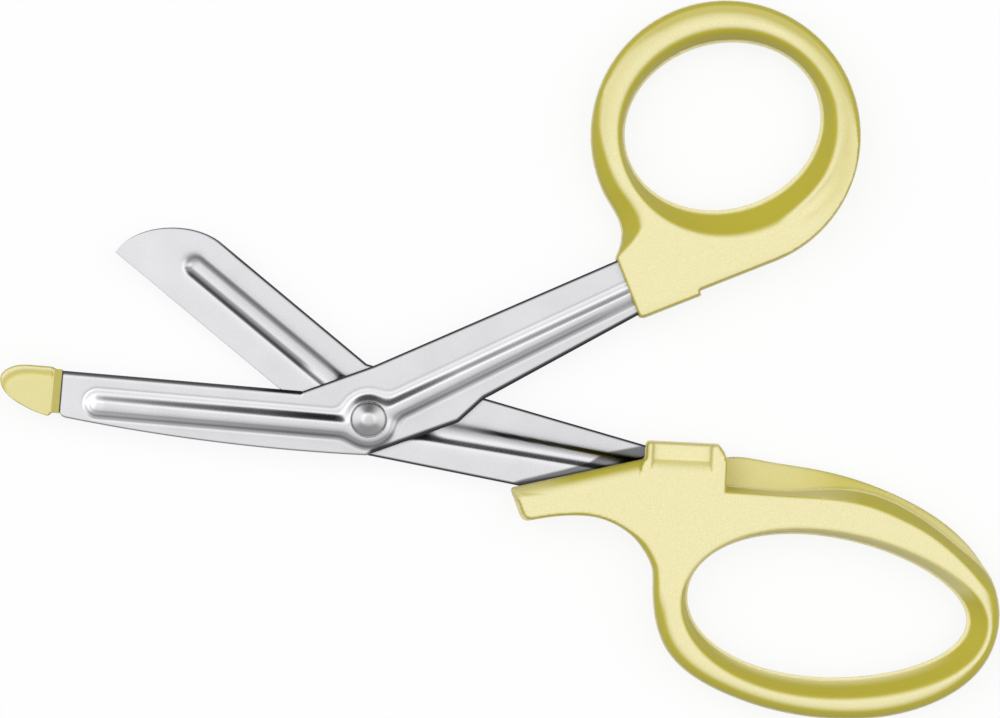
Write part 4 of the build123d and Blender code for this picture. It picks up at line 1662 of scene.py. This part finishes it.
def make_world(settings):
    """Soft light, the brightest just +Y of overhead, with a dark flag beyond it. The camera sees white.

    The colour ramp runs from 0 to 1, so it holds half of each level at half of 1 + Y, and its
    result is doubled.
    """
    world = bpy.data.worlds.new("studio")
    bpy.context.scene.world = world
    world.use_nodes = True
    nodes, links = world.node_tree.nodes, world.node_tree.links
    ground = nodes["Background"]
    place = nodes.new("ShaderNodeTexCoord")
    split = nodes.new("ShaderNodeSeparateXYZ")
    links.new(place.outputs["Generated"], split.inputs[0])
    brightness = (settings.horizon, settings.zenith)
    height = map_range(nodes, links, split.outputs["Z"], sky_heights, brightness)
    bands = nodes.new("ShaderNodeValToRGB")
    stops = bands.color_ramp.elements
    for place_y, level in sky_levels[1:-1]:
        stops.new(place_y * 0.5 + 0.5)
    for stop, (place_y, level) in zip(stops, sky_levels):
        stop.position = place_y * 0.5 + 0.5
        stop.color = (level / 2, level / 2, level / 2, 1)
    links.new(arithmetic(nodes, links, "MULTIPLY_ADD", split.outputs["Y"], 0.5, 0.5), bands.inputs[0])
    half = arithmetic(nodes, links, "MULTIPLY", height, bands.outputs[0])
    light = arithmetic(nodes, links, "MULTIPLY", half, 2.0)
    path = nodes.new("ShaderNodeLightPath")
    pick = nodes.new("ShaderNodeMix")
    pick.inputs[3].default_value = 1.0
    links.new(path.outputs["Is Camera Ray"], pick.inputs[0])
    links.new(light, pick.inputs[2])
    links.new(pick.outputs[0], ground.inputs["Strength"])
    ground.inputs["Color"].default_value = (1, 1, 1, 1)


def add_lamp(name, place, size, power):
    """A square soft lamp at a place, turned to the frame's origin."""
    lamp = bpy.data.lights.new(name, "AREA")
    lamp.size = size
    lamp.energy = power
    seat = bpy.data.objects.new(name, lamp)
    bpy.context.scene.collection.objects.link(seat)
    seat.location = place
    seat.rotation_euler = (-seat.location).to_track_quat("-Z", "Y").to_euler()
    return seat


class ScissorsPanel(bpy.types.Panel):
    """Lists the pieces in the sidebar"""

    bl_idname = "VIEW3D_PT_scissors"
    bl_label = "Bandage scissors"
    bl_space_type = "VIEW_3D"
    bl_region_type = "UI"
    bl_category = "Scissors"

    def draw(self, context):
        for operator in piece_operators:
            self.layout.operator(operator.bl_idname)
        for settings in ("blade_settings", "handle_settings", "stage_settings"):
            group = getattr(context.scene, settings)
            box = self.layout.box()
            for name in group.__annotations__:
                box.prop(group, name)


piece_operators = (MakeFrontBlade, MakeRearBlade, MakeRivet, MakeTipGuard, MakeHandles, MakeStage)
classes = (BladeSettings, HandleSettings, StageSettings, *piece_operators, ScissorsPanel)


def register():
    """Registers the classes and puts the settings on the scene."""
    for item in classes:
        bpy.utils.register_class(item)
    bpy.types.Scene.blade_settings = bpy.props.PointerProperty(type=BladeSettings)
    bpy.types.Scene.handle_settings = bpy.props.PointerProperty(type=HandleSettings)
    bpy.types.Scene.stage_settings = bpy.props.PointerProperty(type=StageSettings)


def unregister():
    """Takes the settings off the scene and unregisters the classes."""
    for name in ("blade_settings", "handle_settings", "stage_settings"):
        delattr(bpy.types.Scene, name)
    for item in reversed(classes):
        bpy.utils.unregister_class(item)


def main():
    """Builds every piece and the stage."""
    register()
    bpy.ops.scissors.front_blade()
    bpy.ops.scissors.rear_blade()
    bpy.ops.scissors.rivet()
    bpy.ops.scissors.tip_guard()
    bpy.ops.scissors.handles()
    bpy.ops.scissors.stage()


if __name__ == "__main__":
    main()
